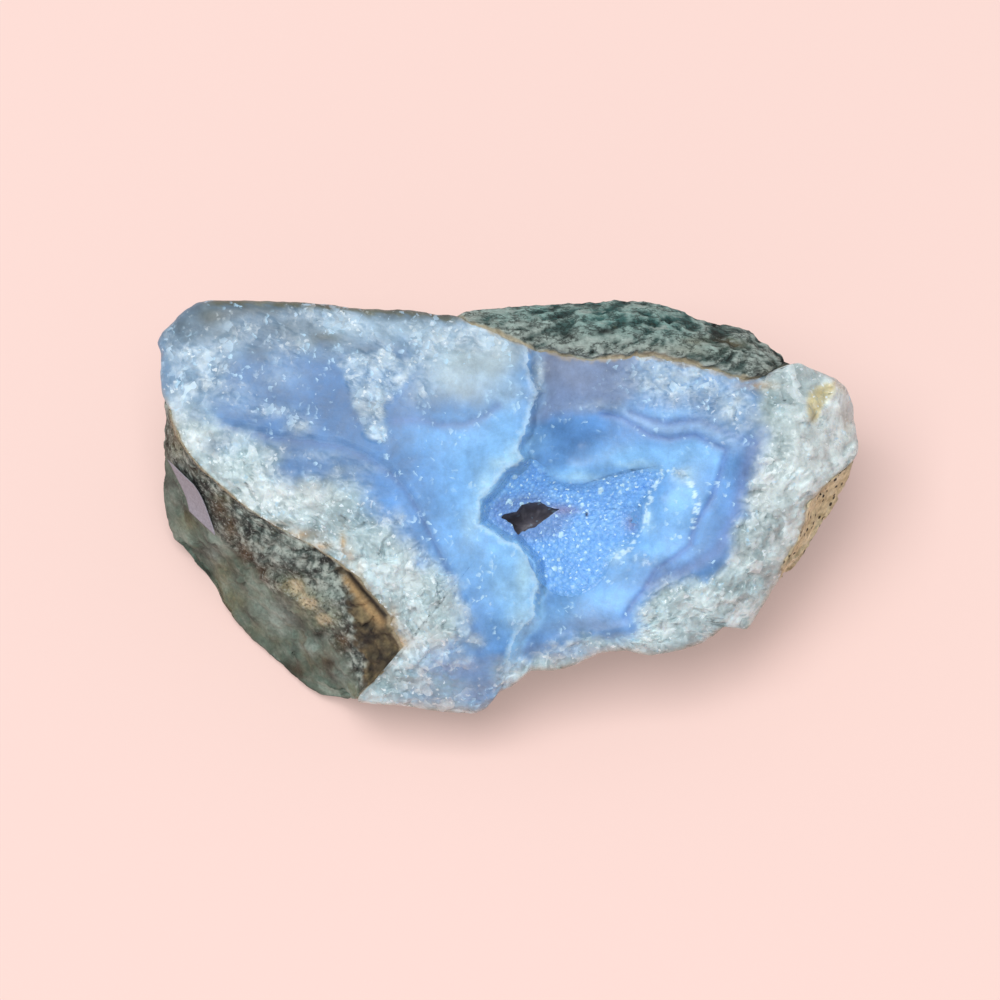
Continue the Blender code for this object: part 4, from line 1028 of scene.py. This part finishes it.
def shaded(points, noise, middle, light, dark):
    """Three tones by a noise: dark where it is low, light where it is high."""
    high, low = smooth(0.0, 0.55, noise), smooth(-0.05, -0.5, noise)
    return lay(plain(middle, points), (light, high), (dark, low))


def rock_colour(points, zones, leaves):
    """Colour of the rock: green-grey with rusty, golden, teal and tan zones, painted light and shade
    on the leafy top, painted shade in pits and crevices, and a tan strip laid paler as painted light.
    """
    plan, w = points[..., :2], points[..., 2]
    uneven = zones["uneven"]
    speck = layered(points, 1.1, 3, 141)
    blotch = layered(points, 7.0, 4, 151)
    front = smooth(-46.0, -30.0, w) * smooth(28.0, 10.0, plan[..., 1])
    moved = plan + uneven[..., None]
    gold = patches(moved, ROCK_GOLD)
    # Painted light and shade: the leafy top is lighter on the crests and darker in the hollows of the
    # relief that pushes it out
    leaf_shading = 1.3 * leaves - 0.4
    teal = shaded(points, leaf_shading + 0.3 * speck, "#2D6361", "#85B5AF", "#0E2220")
    crumpled = lay(
        shaded(points, leaf_shading + 0.5 * speck, "#4B615D", "#AEBDB6", "#141D1B"),
        (teal, patches(moved, ROCK_TEAL)), ("#8F8566", 0.9 * gold),
    )
    gritty = shaded(points, 1.3 * speck + 0.5 * uneven, "#525F5A", "#AEBCB4", "#1A201F")
    wedge = shaded(points, 0.5 * uneven + 0.9 * speck, "#4F4735", "#7D7152", "#241F18")
    return lay(
        shaded(points, 1.1 * blotch + 0.6 * uneven, "#5A7064", "#93A89C", "#2F3A30"),
        ("#6A6848", 0.6 * smooth(0.15, 0.55, layered(points, 5.0, 3, 155))),
        ("#87938A", 0.5 * smooth(0.05, 0.5, speck)), (gritty, zones["gritty"]),
        ("#A6B6AF", patches(moved, ROCK_PALE) * front * (0.8 + 0.5 * speck)), (wedge, zones["wedge"]),
        ("#5C4728", patches(moved, ROCK_BROWN) * front * (0.9 + 0.4 * speck)),
        ("#7F7D56", gold * (0.8 + 0.7 * speck)),
        ("#CFC2A0", smooth(0.55, 0.85, gold) * (0.8 + 0.9 * speck)), (crumpled, zones["top"]),
        # Partly its own pale tan, partly painted light: the tan strip is laid paler to stand in for
        # light its steep faces miss
        (shaded(points, speck, "#E2D4AE", "#F0E6C8", "#BFB088"), zones["strip"]),
        # Painted shade in pits, cracks and crevices
        ("#14130F", patches(plan, ROCK_SHADE_SPOTS) * smooth(-40.0, -30.0, w)),
    )


def rock_rows(rings):
    """Every ring of the rock: the bowl, its rim, the bare flank, the outer wall and the base.

    The flank's rings lie at even shares between the filling's edge and the stone's outline.
    """
    rows = bowl_rows(rings, rings.low, 1.5, BOWL_GAP)[::-1]
    corner_radius = rings.inner - blend(0.3, 0.9, rings.wrapped)
    rows.append(raised(ring(CENTRE, corner_radius, rings.angles), rings.low - 0.25))
    top_plan = ring(CENTRE, corner_radius + 0.05, rings.angles)
    rows.append(raised(top_plan, flank_depth(rings, top_plan, 0.0)))
    rim = ring(CENTRE, rings.outer - WRAP_RETREAT * rings.wrapped, rings.angles)
    share = np.linspace(0.0, 1.0, FLANK_RINGS + 1)[1:, None]
    plan = blend(top_plan, rim, share[..., None])
    flank = raised(plan, flank_depth(rings, plan, share))
    return np.concatenate([rows, flank, wall_rows(rings, flank[-1])])


def flank_depth(rings, plan, share):
    """Depth of the bare flank: at the filling's edge first, then the rock's own height.

    Where the filling wraps the edge it is hidden and drops four millimetres below it.
    """
    reach = from_centre(plan) - rings.inner
    shown = blend(rings.edge_depth + 0.1, ROCK_HEIGHT(plan), smooth(0.0, 2.0, reach))
    return blend(shown, rings.low - 0.9 - 4.0 * share, rings.wrapped)


def wall_rows(rings, rim):
    """Fall from the outline to the base's corners with a slight swell halfway, then the base."""
    foot_radius = softened(radius_at(FOOT, CENTRE, rings.angles), 6)
    foot = ring(CENTRE, foot_radius, rings.angles)
    share = np.linspace(0.0, 1.0, WALL_RINGS + 1)[1:, None]
    level = blend(rim, raised(foot, table_depth(foot[:, 1])), share[..., None])
    radius = from_centre(level) * (1.0 + BULGE * np.sin(math.pi * share))
    limit = rings.outer - 0.1 - WRAP_RETREAT * rings.wrapped
    rows = list(raised(ring(CENTRE, np.minimum(radius, limit), rings.angles), level[..., 2]))
    for inner in (0.9, 0.7, 0.45, 0.2):
        base = ring(CENTRE, foot_radius * inner, rings.angles)
        rows.append(raised(base, table_depth(base[:, 1])))
    return np.array(rows)


def label_cover(plan):
    """Share of the plan that lies under the paper label or beside it."""
    low_right = LABEL_LOW_LEFT + LABEL_TOP_RIGHT - LABEL_TOP_LEFT
    corners = np.array([LABEL_TOP_LEFT, LABEL_LOW_LEFT, low_right, LABEL_TOP_RIGHT])
    return smooth(-2.0, 0.0, inside(plan, corners[:, :2]))


def rough_rock(rows, rings):
    """Push the rock's surface in and out along its normals: blocks, lumps, leaves and grit.

    The push is nothing in the bowl, at the filling's edge and under the label, grows over
    the first millimetre and a half, and fades out at the flat base.
    """
    zones = rock_zones(rows)
    leaves = leafy_relief(rows)
    pushed = bent(rows, 5.0, 2.5, 161)
    blocks, _ = facets(pushed, 13.0, 165, 0.5, 0.12)
    lumps, _ = facets(pushed, 4.0, 171, 0.6, 0.2)
    grit = layered(rows, 1.6, 3, 181)
    outside = np.arange(len(rows))[:, None] >= BOWL_RINGS + FLANK_RINGS
    free = smooth(0.1, 1.6, from_centre(rows) - rings.inner + outside * 9.0)
    free[:BOWL_RINGS] = 0.0
    above = (rows[..., 2] - table_depth(rows[..., 1])) * math.cos(LEAN)
    free = free * smooth(0.0, 4.0, above) * (1.0 - label_cover(rows[..., :2]))
    calm = np.where(outside, 0.35, 0.35 + 0.65 * smooth(0.0, 4.0, rings.outer - from_centre(rows)))
    push = calm * (0.55 * lumps + 0.35 * grit) + np.where(outside, 0.4, 0.25) * blocks
    push = blend(push, calm * (1.35 * leaves + 0.3 * lumps), zones["top"])
    push = push - np.where(outside, 0.6, 0.4)
    moved = rows + (push * free)[..., None] * normals(rows)
    limit = rings.outer + 0.2 - WRAP_RETREAT * rings.wrapped
    inward = np.minimum(1.0, limit / np.maximum(from_centre(moved), 1e-6))
    moved[..., :2] = CENTRE + (moved[..., :2] - CENTRE) * inward[..., None]
    return moved, zones, leaves


def make_rock(rings):
    """The host rock as one closed mesh with its colour and its kinds of grain."""
    rows, zones, leaves = rough_rock(rock_rows(rings), rings)
    ends = [(*CENTRE, -BOWL_DEPTH - BOWL_GAP), (*CENTRE, table_depth(CENTRE[1]))]
    piece = closed_mesh("host_rock_shell", rows, ends)
    plan = rows[..., :2]
    on_flank = np.arange(len(rows))[:, None] < BOWL_RINGS + FLANK_RINGS
    rind = smooth(0.9, 0.1, from_centre(rows) - rings.inner + 1.4 * zones["uneven"])
    rind = rind * (1.0 - rings.wrapped) * on_flank
    cleft = smooth(-24.0, -18.0, rows[..., 2])
    paint(piece, "tint", lay(
        rock_colour(rows, zones, leaves), ("#ADA084", 0.8 * rind),
        ("#B4966A", 0.85 * valley(plan, SLIT_EDGE, 0.9) * cleft),
        # Painted shadow: a dark line along the slit
        ("#1C150E", valley(plan, SLIT, 0.5) * cleft),
    ))
    speckle = zones["gritty"] * (1.0 - zones["wedge"])
    mark(piece, speckle=speckle, leafy=zones["top"] * (1.0 - rind), porous=zones["strip"])
    return piece


def make_label():
    """The small paper label: a thin bent sheet on the lower left flank.

    It is a flat grid lifted off the rock by the fourth power of the distance from its middle,
    so that its ends curl, and by a slight wave.
    """
    across, along = np.meshgrid(np.linspace(0, 1, 24), np.linspace(0, 1, 44))
    side = LABEL_TOP_RIGHT - LABEL_TOP_LEFT
    down = LABEL_LOW_LEFT - LABEL_TOP_LEFT
    normal = np.cross(down, side)
    normal /= np.linalg.norm(normal)
    lift = PAPER_LIFT + 0.4 * (2.0 * along - 1.0) ** 4 + 0.1 * np.sin(7.0 * along + 2.0 * across)
    front = LABEL_TOP_LEFT + across[..., None] * side + along[..., None] * down
    front = front + lift[..., None] * normal
    back = front - PAPER_THICKNESS * normal
    loop = np.concatenate([front, back[:, ::-1]], axis=1)
    ends = [loop[0].mean(axis=0), loop[-1].mean(axis=0)]
    return closed_mesh("price_label", loop[:, ::-1], ends)


def fill(tree, node, inputs):
    """Give a node's inputs values or other nodes' outputs, in turn or by name or number."""
    for key, value in inputs.items() if isinstance(inputs, dict) else enumerate(inputs):
        if isinstance(value, bpy.types.NodeSocket):
            tree.links.new(value, node.inputs[key])
        else:
            node.inputs[key].default_value = value


def add(tree, kind, inputs=(), out=0, **settings):
    """Add a node with its settings and inputs, and give one of its outputs."""
    node = tree.nodes.new("ShaderNode" + kind)
    for name, value in settings.items():
        setattr(node, name, value)
    fill(tree, node, inputs)
    return node.outputs[out]


def cloud(place, size, detail, rough=0.5):
    """Inputs of a noise with lumps of a size in millimetres."""
    return {"Vector": place, "Scale": per_mm(size), "Detail": detail, "Roughness": rough}


def per_mm(size):
    """Pattern scale for a feature size in millimetres, in metre coordinates."""
    return 1.0 / (size * MM)


def start_material(name):
    """New node material with its tree and its shader."""
    material = bpy.data.materials.new(name)
    material.use_nodes = True
    return material, material.node_tree, material.node_tree.nodes["Principled BSDF"]


def coat(tree, colour, tone, share):
    """Lay a hex tone, or another colour, over a colour by a share."""
    tone = (*linear(tone), 1.0) if isinstance(tone, str) else tone
    return add(tree, "Mix", {0: share, 6: colour, 7: tone}, 2, data_type="RGBA")


def shards(tree, place, size):
    """Random shards about size millimetres wide: tone, painted shading across each, and tilt direction.

    The pattern is read on coordinates pushed about by noise, so the shards are irregular. The painted
    shading is the offset from the shard's middle dotted with its random direction.
    """
    reach = 2.6 * size
    push = add(tree, "TexNoise", cloud(place, reach, 3.0), "Color")
    moved = add(tree, "VectorMath", (push, (reach * MM,) * 3, place), operation="MULTIPLY_ADD")
    cells = add(tree, "TexVoronoi", {"Vector": moved, "Scale": per_mm(size)}, "Color")
    lean = add(tree, "VectorMath", (cells, (0.5, 0.5, 0.5)), operation="SUBTRACT")
    offset = add(tree, "VectorMath", (moved, cells.node.outputs["Position"]), operation="SUBTRACT")
    slant = add(tree, "VectorMath", (offset, lean), "Value", operation="DOT_PRODUCT")
    shade = add(tree, "Math", (slant, per_mm(size)), operation="MULTIPLY")
    return add(tree, "SeparateColor", (cells,)), shade, lean


def tilted(tree, normal, lean, amount):
    """Lean a normal by an amount of a shard's direction, and bring it back to unit length."""
    size = add(tree, "VectorMath", {0: lean, "Scale": amount}, operation="SCALE")
    total = add(tree, "VectorMath", (normal, size), operation="ADD")
    return add(tree, "VectorMath", (total,), operation="NORMALIZE")


def brightened(tree, colour, pattern, low, high, dark, bright):
    """Multiply a colour by a factor from dark to bright as a pattern goes from low to high."""
    factor = add(tree, "MapRange", (pattern, low, high, dark, bright))
    return add(tree, "VectorMath", {0: colour, "Scale": factor}, operation="SCALE")


def step_colour(tree, place):
    """Colour left or right of the broken step, with a ragged crisp border and a painted
    highlight along the brink.
    """
    push = add(tree, "TexNoise", cloud(place, 1.4, 4.0, 0.6))
    ragged = add(tree, "MapRange", (push, 0.2, 0.8, -0.7, 0.7))
    beyond = add(tree, "Attribute", out="Fac", attribute_name="brink")
    brink = add(tree, "Math", (beyond, ragged), operation="ADD")
    side = add(tree, "MapRange", (brink, -0.12, 0.12, 0.0, 1.0))
    tint = add(tree, "Attribute", out="Color", attribute_name="tint")
    low_tint = add(tree, "Attribute", out="Color", attribute_name="tint_low")
    # Painted highlight: pale blue rising towards the brink on its upper side
    near = add(tree, "MapRange", (brink, -1.4, -0.15, 0.0, 0.5))
    left = add(tree, "Math", (1.0, side), operation="SUBTRACT")
    rim = add(tree, "Math", (near, left), operation="MULTIPLY")
    return coat(tree, coat(tree, tint, low_tint, side), "#D2EAFB", rim)


def growth_bands(tree, place, colour, broken):
    """Faint bands that follow the growth lines, strongest within a few millimetres of them."""
    growth = add(tree, "Attribute", out="Fac", attribute_name="growth")
    push = add(tree, "TexNoise", cloud(place, 3.0, 3.0))
    ragged = add(tree, "MapRange", (push, 0.0, 1.0, -0.8, 0.8))
    along = add(tree, "Math", (growth, ragged), operation="ADD")
    bands = add(tree, "TexNoise", {"W": along, "Scale": 0.9, "Detail": 4.0, "Roughness": 0.65},
                noise_dimensions="1D")
    apart = add(tree, "Math", (growth,), operation="ABSOLUTE")
    whole = add(tree, "Math", (1.0, broken), operation="SUBTRACT")
    near = add(tree, "MapRange", (apart, 1.0, 6.0, 0.8, 0.0))
    clear = add(tree, "Math", (near, whole), operation="MULTIPLY")
    for tone, low, high in (("#94C8F8", 0.55, 0.72), ("#557FBE", 0.47, 0.3)):
        band = add(tree, "MapRange", (bands, low, high, 0.0, 0.3))
        colour = coat(tree, colour, tone, add(tree, "Math", (band, clear), operation="MULTIPLY"))
    return colour


def filling_material():
    """Blue chalcedony grading into granular vein quartz.

    Waxy and faintly translucent where blue, with soft clouds and growth bands; where it is
    sugary or chipped, each shard has its own brightness, gloss and tilt, with painted shading
    across it and a few painted glints, so it glitters.
    """
    material, tree, shader = start_material("blue_chalcedony_and_vein_quartz")
    place = add(tree, "TexCoord", out="Object")
    border = add(tree, "TexNoise", cloud(place, 1.6, 5.0, 0.6))
    edge = add(tree, "MapRange", (border, 0.25, 0.75, -0.35, 0.35))
    shares = []
    for name in ("sugar", "frost"):
        share = add(tree, "Attribute", out="Fac", attribute_name=name)
        ragged = add(tree, "Math", (share, edge), operation="ADD")
        shares.append(add(tree, "MapRange", (ragged, 0.15, 0.95, 0.0, 1.0)))
    sugar, frost = shares
    chipped = add(tree, "Math", (frost, 0.8), operation="MULTIPLY")
    broken = add(tree, "Math", (sugar, chipped), operation="MAXIMUM")

    # Soft clouds, growth bands and drifts of the blue
    clouds = add(tree, "TexNoise", cloud(place, 3.0, 8.0, 0.75))
    colour = brightened(tree, step_colour(tree, place), clouds, 0.3, 0.7, 0.8, 1.18)
    colour = growth_bands(tree, place, colour, broken)
    drift = add(tree, "TexNoise", cloud(place, 7.5, 5.0, 0.62))
    colour = brightened(tree, colour, drift, 0.34, 0.66, 0.78, 1.2)

    # Groups of small pale chips in it, each with painted shading from one edge to the other
    tiny, tiny_shade, _ = shards(tree, place, 0.9)
    rare = add(tree, "Math", (tiny, 0.88), operation="GREATER_THAN")
    painted_shading = add(tree, "MapRange", (tiny_shade, -0.15, 0.2, 0.0, 0.75))
    gathered = add(tree, "TexNoise", cloud(place, 6.0, 3.0))
    groups = add(tree, "MapRange", (gathered, 0.45, 0.6, 0.0, 1.0))
    chips = add(tree, "Math", (rare, painted_shading), operation="MULTIPLY")
    chips = add(tree, "Math", (chips, groups), operation="MULTIPLY")
    colour = coat(tree, colour, "#B9E2FB", chips)

    # Dull and pale shards of three sizes in the quartz and the frosted parts, by painted shading across
    # each shard mixed with its random tone
    large, large_shade, large_lean = shards(tree, place, 4.2)
    middle, middle_shade, middle_lean = shards(tree, place, 1.6)
    small, _, small_lean = shards(tree, place, 0.55)
    level = 0.0
    for tone, part in (
        (large_shade, 1.2), (middle_shade, 0.55), (large, 0.5), (middle, 0.32), (small, 0.18),
    ):
        level = add(tree, "Math", (tone, part, level), operation="MULTIPLY_ADD")
    uneven = add(tree, "TexNoise", cloud(place, 9.0, 4.0, 0.6))
    strength = add(tree, "MapRange", (uneven, 0.4, 0.62, 0.35, 1.15))
    for tone, cover, low, high, most in (
        ("#869FA4", sugar, 0.45, 0.15, 0.5), ("#E6F4F8", broken, 0.5, 0.9, 0.75),
    ):
        here = add(tree, "Math", (cover, strength), operation="MULTIPLY")
        share = add(tree, "MapRange", (level, low, high, 0.0, most))
        colour = coat(tree, colour, tone, add(tree, "Math", (share, here), operation="MULTIPLY"))

    # Pale chip marks with painted shading from one edge to the other, then painted glints
    limit = add(tree, "MapRange", (frost, 0.1, 1.0, 1.0, 0.55))
    rare = add(tree, "Math", (middle, limit), operation="GREATER_THAN")
    painted_shading = add(tree, "MapRange", (large_shade, -0.12, 0.2, 0.0, 0.55))
    colour = coat(tree, colour, "#BFE0F8", add(tree, "Math", (rare, painted_shading), operation="MULTIPLY"))
    painted_glint = add(tree, "MapRange", (small, 0.96, 0.98, 0.0, 0.8))
    colour = coat(tree, colour, "#EEFAFF", add(tree, "Math", (painted_glint, broken), operation="MULTIPLY"))

    waxy = add(tree, "MapRange", (clouds, 0.3, 0.7, 0.36, 0.5))
    glassy = add(tree, "MapRange", (middle, 0.0, 1.0, 0.2, 0.5))
    normal = add(tree, "Bump", {"Strength": 0.3, "Distance": 0.5 * MM, "Height": clouds})
    for lean, amount in ((large_lean, 0.35), (middle_lean, 0.4), (small_lean, 0.25)):
        normal = tilted(tree, normal, lean, add(tree, "Math", (broken, amount), operation="MULTIPLY"))
    fill(tree, shader, {
        "Base Color": colour, "Roughness": add(tree, "Mix", {0: broken, 2: waxy, 3: glassy}),
        "Normal": normal, "IOR": QUARTZ_IOR, "Subsurface Weight": 0.12,
        "Subsurface Radius": (0.0018, 0.0024, 0.0036), "Subsurface Scale": 1.0,
    })
    return material


def crust_material():
    """Quartz druse over blue chalcedony: small clear points, glossy faces, blue from below and painted
    glints.
    """
    material, tree, shader = start_material("quartz_druse_on_blue")
    place = add(tree, "TexCoord", out="Object")
    tint = add(tree, "Attribute", out="Color", attribute_name="tint")
    tone, _, lean = shards(tree, place, 0.45)
    colour = brightened(tree, tint, tone, 0.0, 1.0, 0.94, 1.08)
    # Painted glints: the brightest few shards are laid near-white blue
    painted_glint = add(tree, "MapRange", (tone, 0.965, 0.975, 0.0, 0.85))
    surface = add(tree, "NewGeometry", out="Normal")
    fill(tree, shader, {
        "Base Color": coat(tree, colour, "#CDF0FF", painted_glint),
        "Roughness": add(tree, "MapRange", (tone, 0.0, 1.0, 0.22, 0.5)),
        "Normal": tilted(tree, surface, lean, 0.2), "IOR": QUARTZ_IOR, "Subsurface Weight": 0.1,
        "Subsurface Radius": (0.0012, 0.0018, 0.003), "Subsurface Scale": 1.0,
    })
    return material


def rock_material():
    """Weathered altered basalt: dull and gritty, with mineral specks, pores of painted shade and rusty
    films.
    """
    material, tree, shader = start_material("weathered_green_basalt")
    place = add(tree, "TexCoord", out="Object")
    tint = add(tree, "Attribute", out="Color", attribute_name="tint")
    speckle, porous, leafy = (
        add(tree, "Attribute", out="Fac", attribute_name=name) for name in ("speckle", "porous", "leafy")
    )

    # Grains of such rock are about 0.1 mm; grit and specks are drawn at 0.9 and 0.75 mm to show
    grit = add(tree, "TexNoise", cloud(place, 0.9, 8.0, 0.7))
    specks = add(tree, "TexNoise", cloud(place, 0.75, 5.0, 0.75))
    mottle = add(tree, "TexNoise", cloud(place, 3.2, 6.0, 0.65))
    stretch = {"Vector": place, "Rotation": (0.0, 0.0, 0.3), "Scale": (0.4, 1.0, 0.8)}
    drawn = add(tree, "Mapping", stretch)
    folds = add(tree, "TexNoise", cloud(drawn, 2.2, 7.0, 0.66))
    off = add(tree, "Math", (folds, 0.46), operation="SUBTRACT")
    crease_shade = add(tree, "Math", (off,), operation="ABSOLUTE")
    # Painted shade: the tan strip's pores are dark spots with no hollows under them
    pores = add(tree, "TexVoronoi", {"Vector": place, "Scale": per_mm(1.7)}, "Distance")
    colour = brightened(tree, tint, grit, 0.3, 0.7, 0.68, 1.35)
    # The pale fold tones and the dark creases of the leafy top are painted highlight and painted shade
    # on its folds
    for tone, pattern, low, high, most, cover in (
        ("#B9C2BC", specks, 0.54, 0.62, 0.6, speckle), ("#1C201F", specks, 0.46, 0.38, 0.75, speckle),
        ("#6C6A4E", mottle, 0.6, 0.72, 0.35, 1.0), ("#BDCCC5", folds, 0.56, 0.67, 0.75, leafy),
        ("#18231F", crease_shade, 0.045, 0.0, 0.85, leafy), ("#3A3222", pores, 0.3, 0.2, 1.0, porous),
    ):
        share = add(tree, "MapRange", (pattern, low, high, 0.0, most))
        colour = coat(tree, colour, tone, add(tree, "Math", (share, cover), operation="MULTIPLY"))

    # Lumps, grit and folds as relief, then small tilted faces where the rock is freshly broken
    normal = add(tree, "Bump", {"Strength": 0.7, "Distance": 0.9 * MM, "Height": mottle})
    for strength, depth, pattern in ((0.75, 0.45, grit), (leafy, 1.6, folds)):
        relief = {"Strength": strength, "Distance": depth * MM, "Height": pattern, "Normal": normal}
        normal = add(tree, "Bump", relief)
    tone, _, lean = shards(tree, place, 0.6)
    fresh = add(tree, "Math", (speckle, leafy), operation="ADD")
    glitter = add(tree, "Math", (fresh, 0.3), operation="MULTIPLY")
    fill(tree, shader, {
        "Base Color": colour, "Roughness": add(tree, "MapRange", (tone, 0.0, 1.0, 0.6, 0.9)),
        "Normal": tilted(tree, normal, lean, glitter),
    })
    return material


def label_material():
    """Uncoated label paper: greyish lilac, matt, faintly mottled by its fibres."""
    material, tree, shader = start_material("uncoated_label_paper")
    place = add(tree, "TexCoord", out="Object")

    # Real fibres are about 0.02 mm wide; mottles of 0.5 mm stand for them
    fibres = add(tree, "TexNoise", cloud(place, 0.5, 6.0))
    pale = add(tree, "MapRange", (fibres, 0.35, 0.65, 0.0, 1.0))
    fill(tree, shader, {
        "Base Color": coat(tree, (*linear("#92929E"), 1.0), "#A8A8B4", pale),
        "Roughness": add(tree, "MapRange", (fibres, 0.0, 1.0, 0.7, 0.9)),
        "Normal": add(tree, "Bump", {"Strength": 0.3, "Distance": 0.05 * MM, "Height": fibres}),
    })
    return material


def floor_material():
    """Matt pale pink paper backdrop, glowing faintly as if lit from behind too."""
    material, tree, shader = start_material("pale_pink_backdrop_paper")
    pink = linear("#FADBD3")
    fill(tree, shader, {
        "Base Color": (*(0.66 * pink), 1.0), "Emission Color": (*pink, 1.0),
        "Emission Strength": 0.34, "Roughness": 0.95, "Specular IOR Level": 0.1,
    })
    return material


def dress(piece, material, node):
    """Give a piece its material, tie it to the frame's root and hide the imported part of that node."""
    piece.data.materials.append(material)
    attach(piece, "root")
    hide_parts(node)


def make_floor():
    """A large level sheet under the stone."""
    half = 6.0
    mesh = bpy.data.meshes.new("backdrop")
    corners = [(-half, -half, 0.0), (half, -half, 0.0), (half, half, 0.0), (-half, half, 0.0)]
    mesh.from_pydata(corners, [], [(0, 1, 2, 3)])
    mesh.materials.append(floor_material())
    floor = link("backdrop", mesh)


def light_stage():
    """Even pale surroundings with a large soft light above and a little behind, to the left."""
    surroundings = bpy.data.worlds.new("soft_studio")
    surroundings.use_nodes = True
    fill(surroundings.node_tree, surroundings.node_tree.nodes["Background"], {
        "Color": (*linear("#F8F6F8"), 1.0), "Strength": 0.4,
    })
    bpy.context.scene.world = surroundings
    light = bpy.data.lights.new("sky_panel", "AREA")
    light.size = 1.6
    light.energy = 56.0
    holder = link("sky_panel", light)
    holder.location = (-0.45, -0.35, 2.6)
    holder.rotation_euler = np.radians([7.7, -9.7, 0.0])
    bpy.context.scene.view_settings.view_transform = "Standard"


def place_camera():
    """Look straight onto the face from afar: 200 mm fill the frame's width."""
    frame_width, distance, sensor = 0.2, 3.0, 36.0
    lens = bpy.data.cameras.new("photo_camera")
    lens.sensor_width = sensor
    lens.lens = sensor * distance / frame_width
    lens.clip_end = 20.0
    camera = link("photo_camera", lens)
    away = np.array([0.0, -math.sin(LEAN), math.cos(LEAN)]) * distance
    camera.location = world(np.array([-6.0, 3.2, 0.0])) + away
    camera.rotation_euler = (LEAN, 0.0, 0.0)
    bpy.context.scene.camera = camera


def build():
    """Make every piece, tie it to the frame and set the stage."""
    rings = Rings()
    dress(make_filling(rings), filling_material(), "chalcedony")
    dress(make_crust(), crust_material(), "druse_crust")
    dress(make_rock(rings), rock_material(), "host_rock")
    dress(make_label(), label_material(), "paper_label")
    make_floor()
    light_stage()
    place_camera()


build()
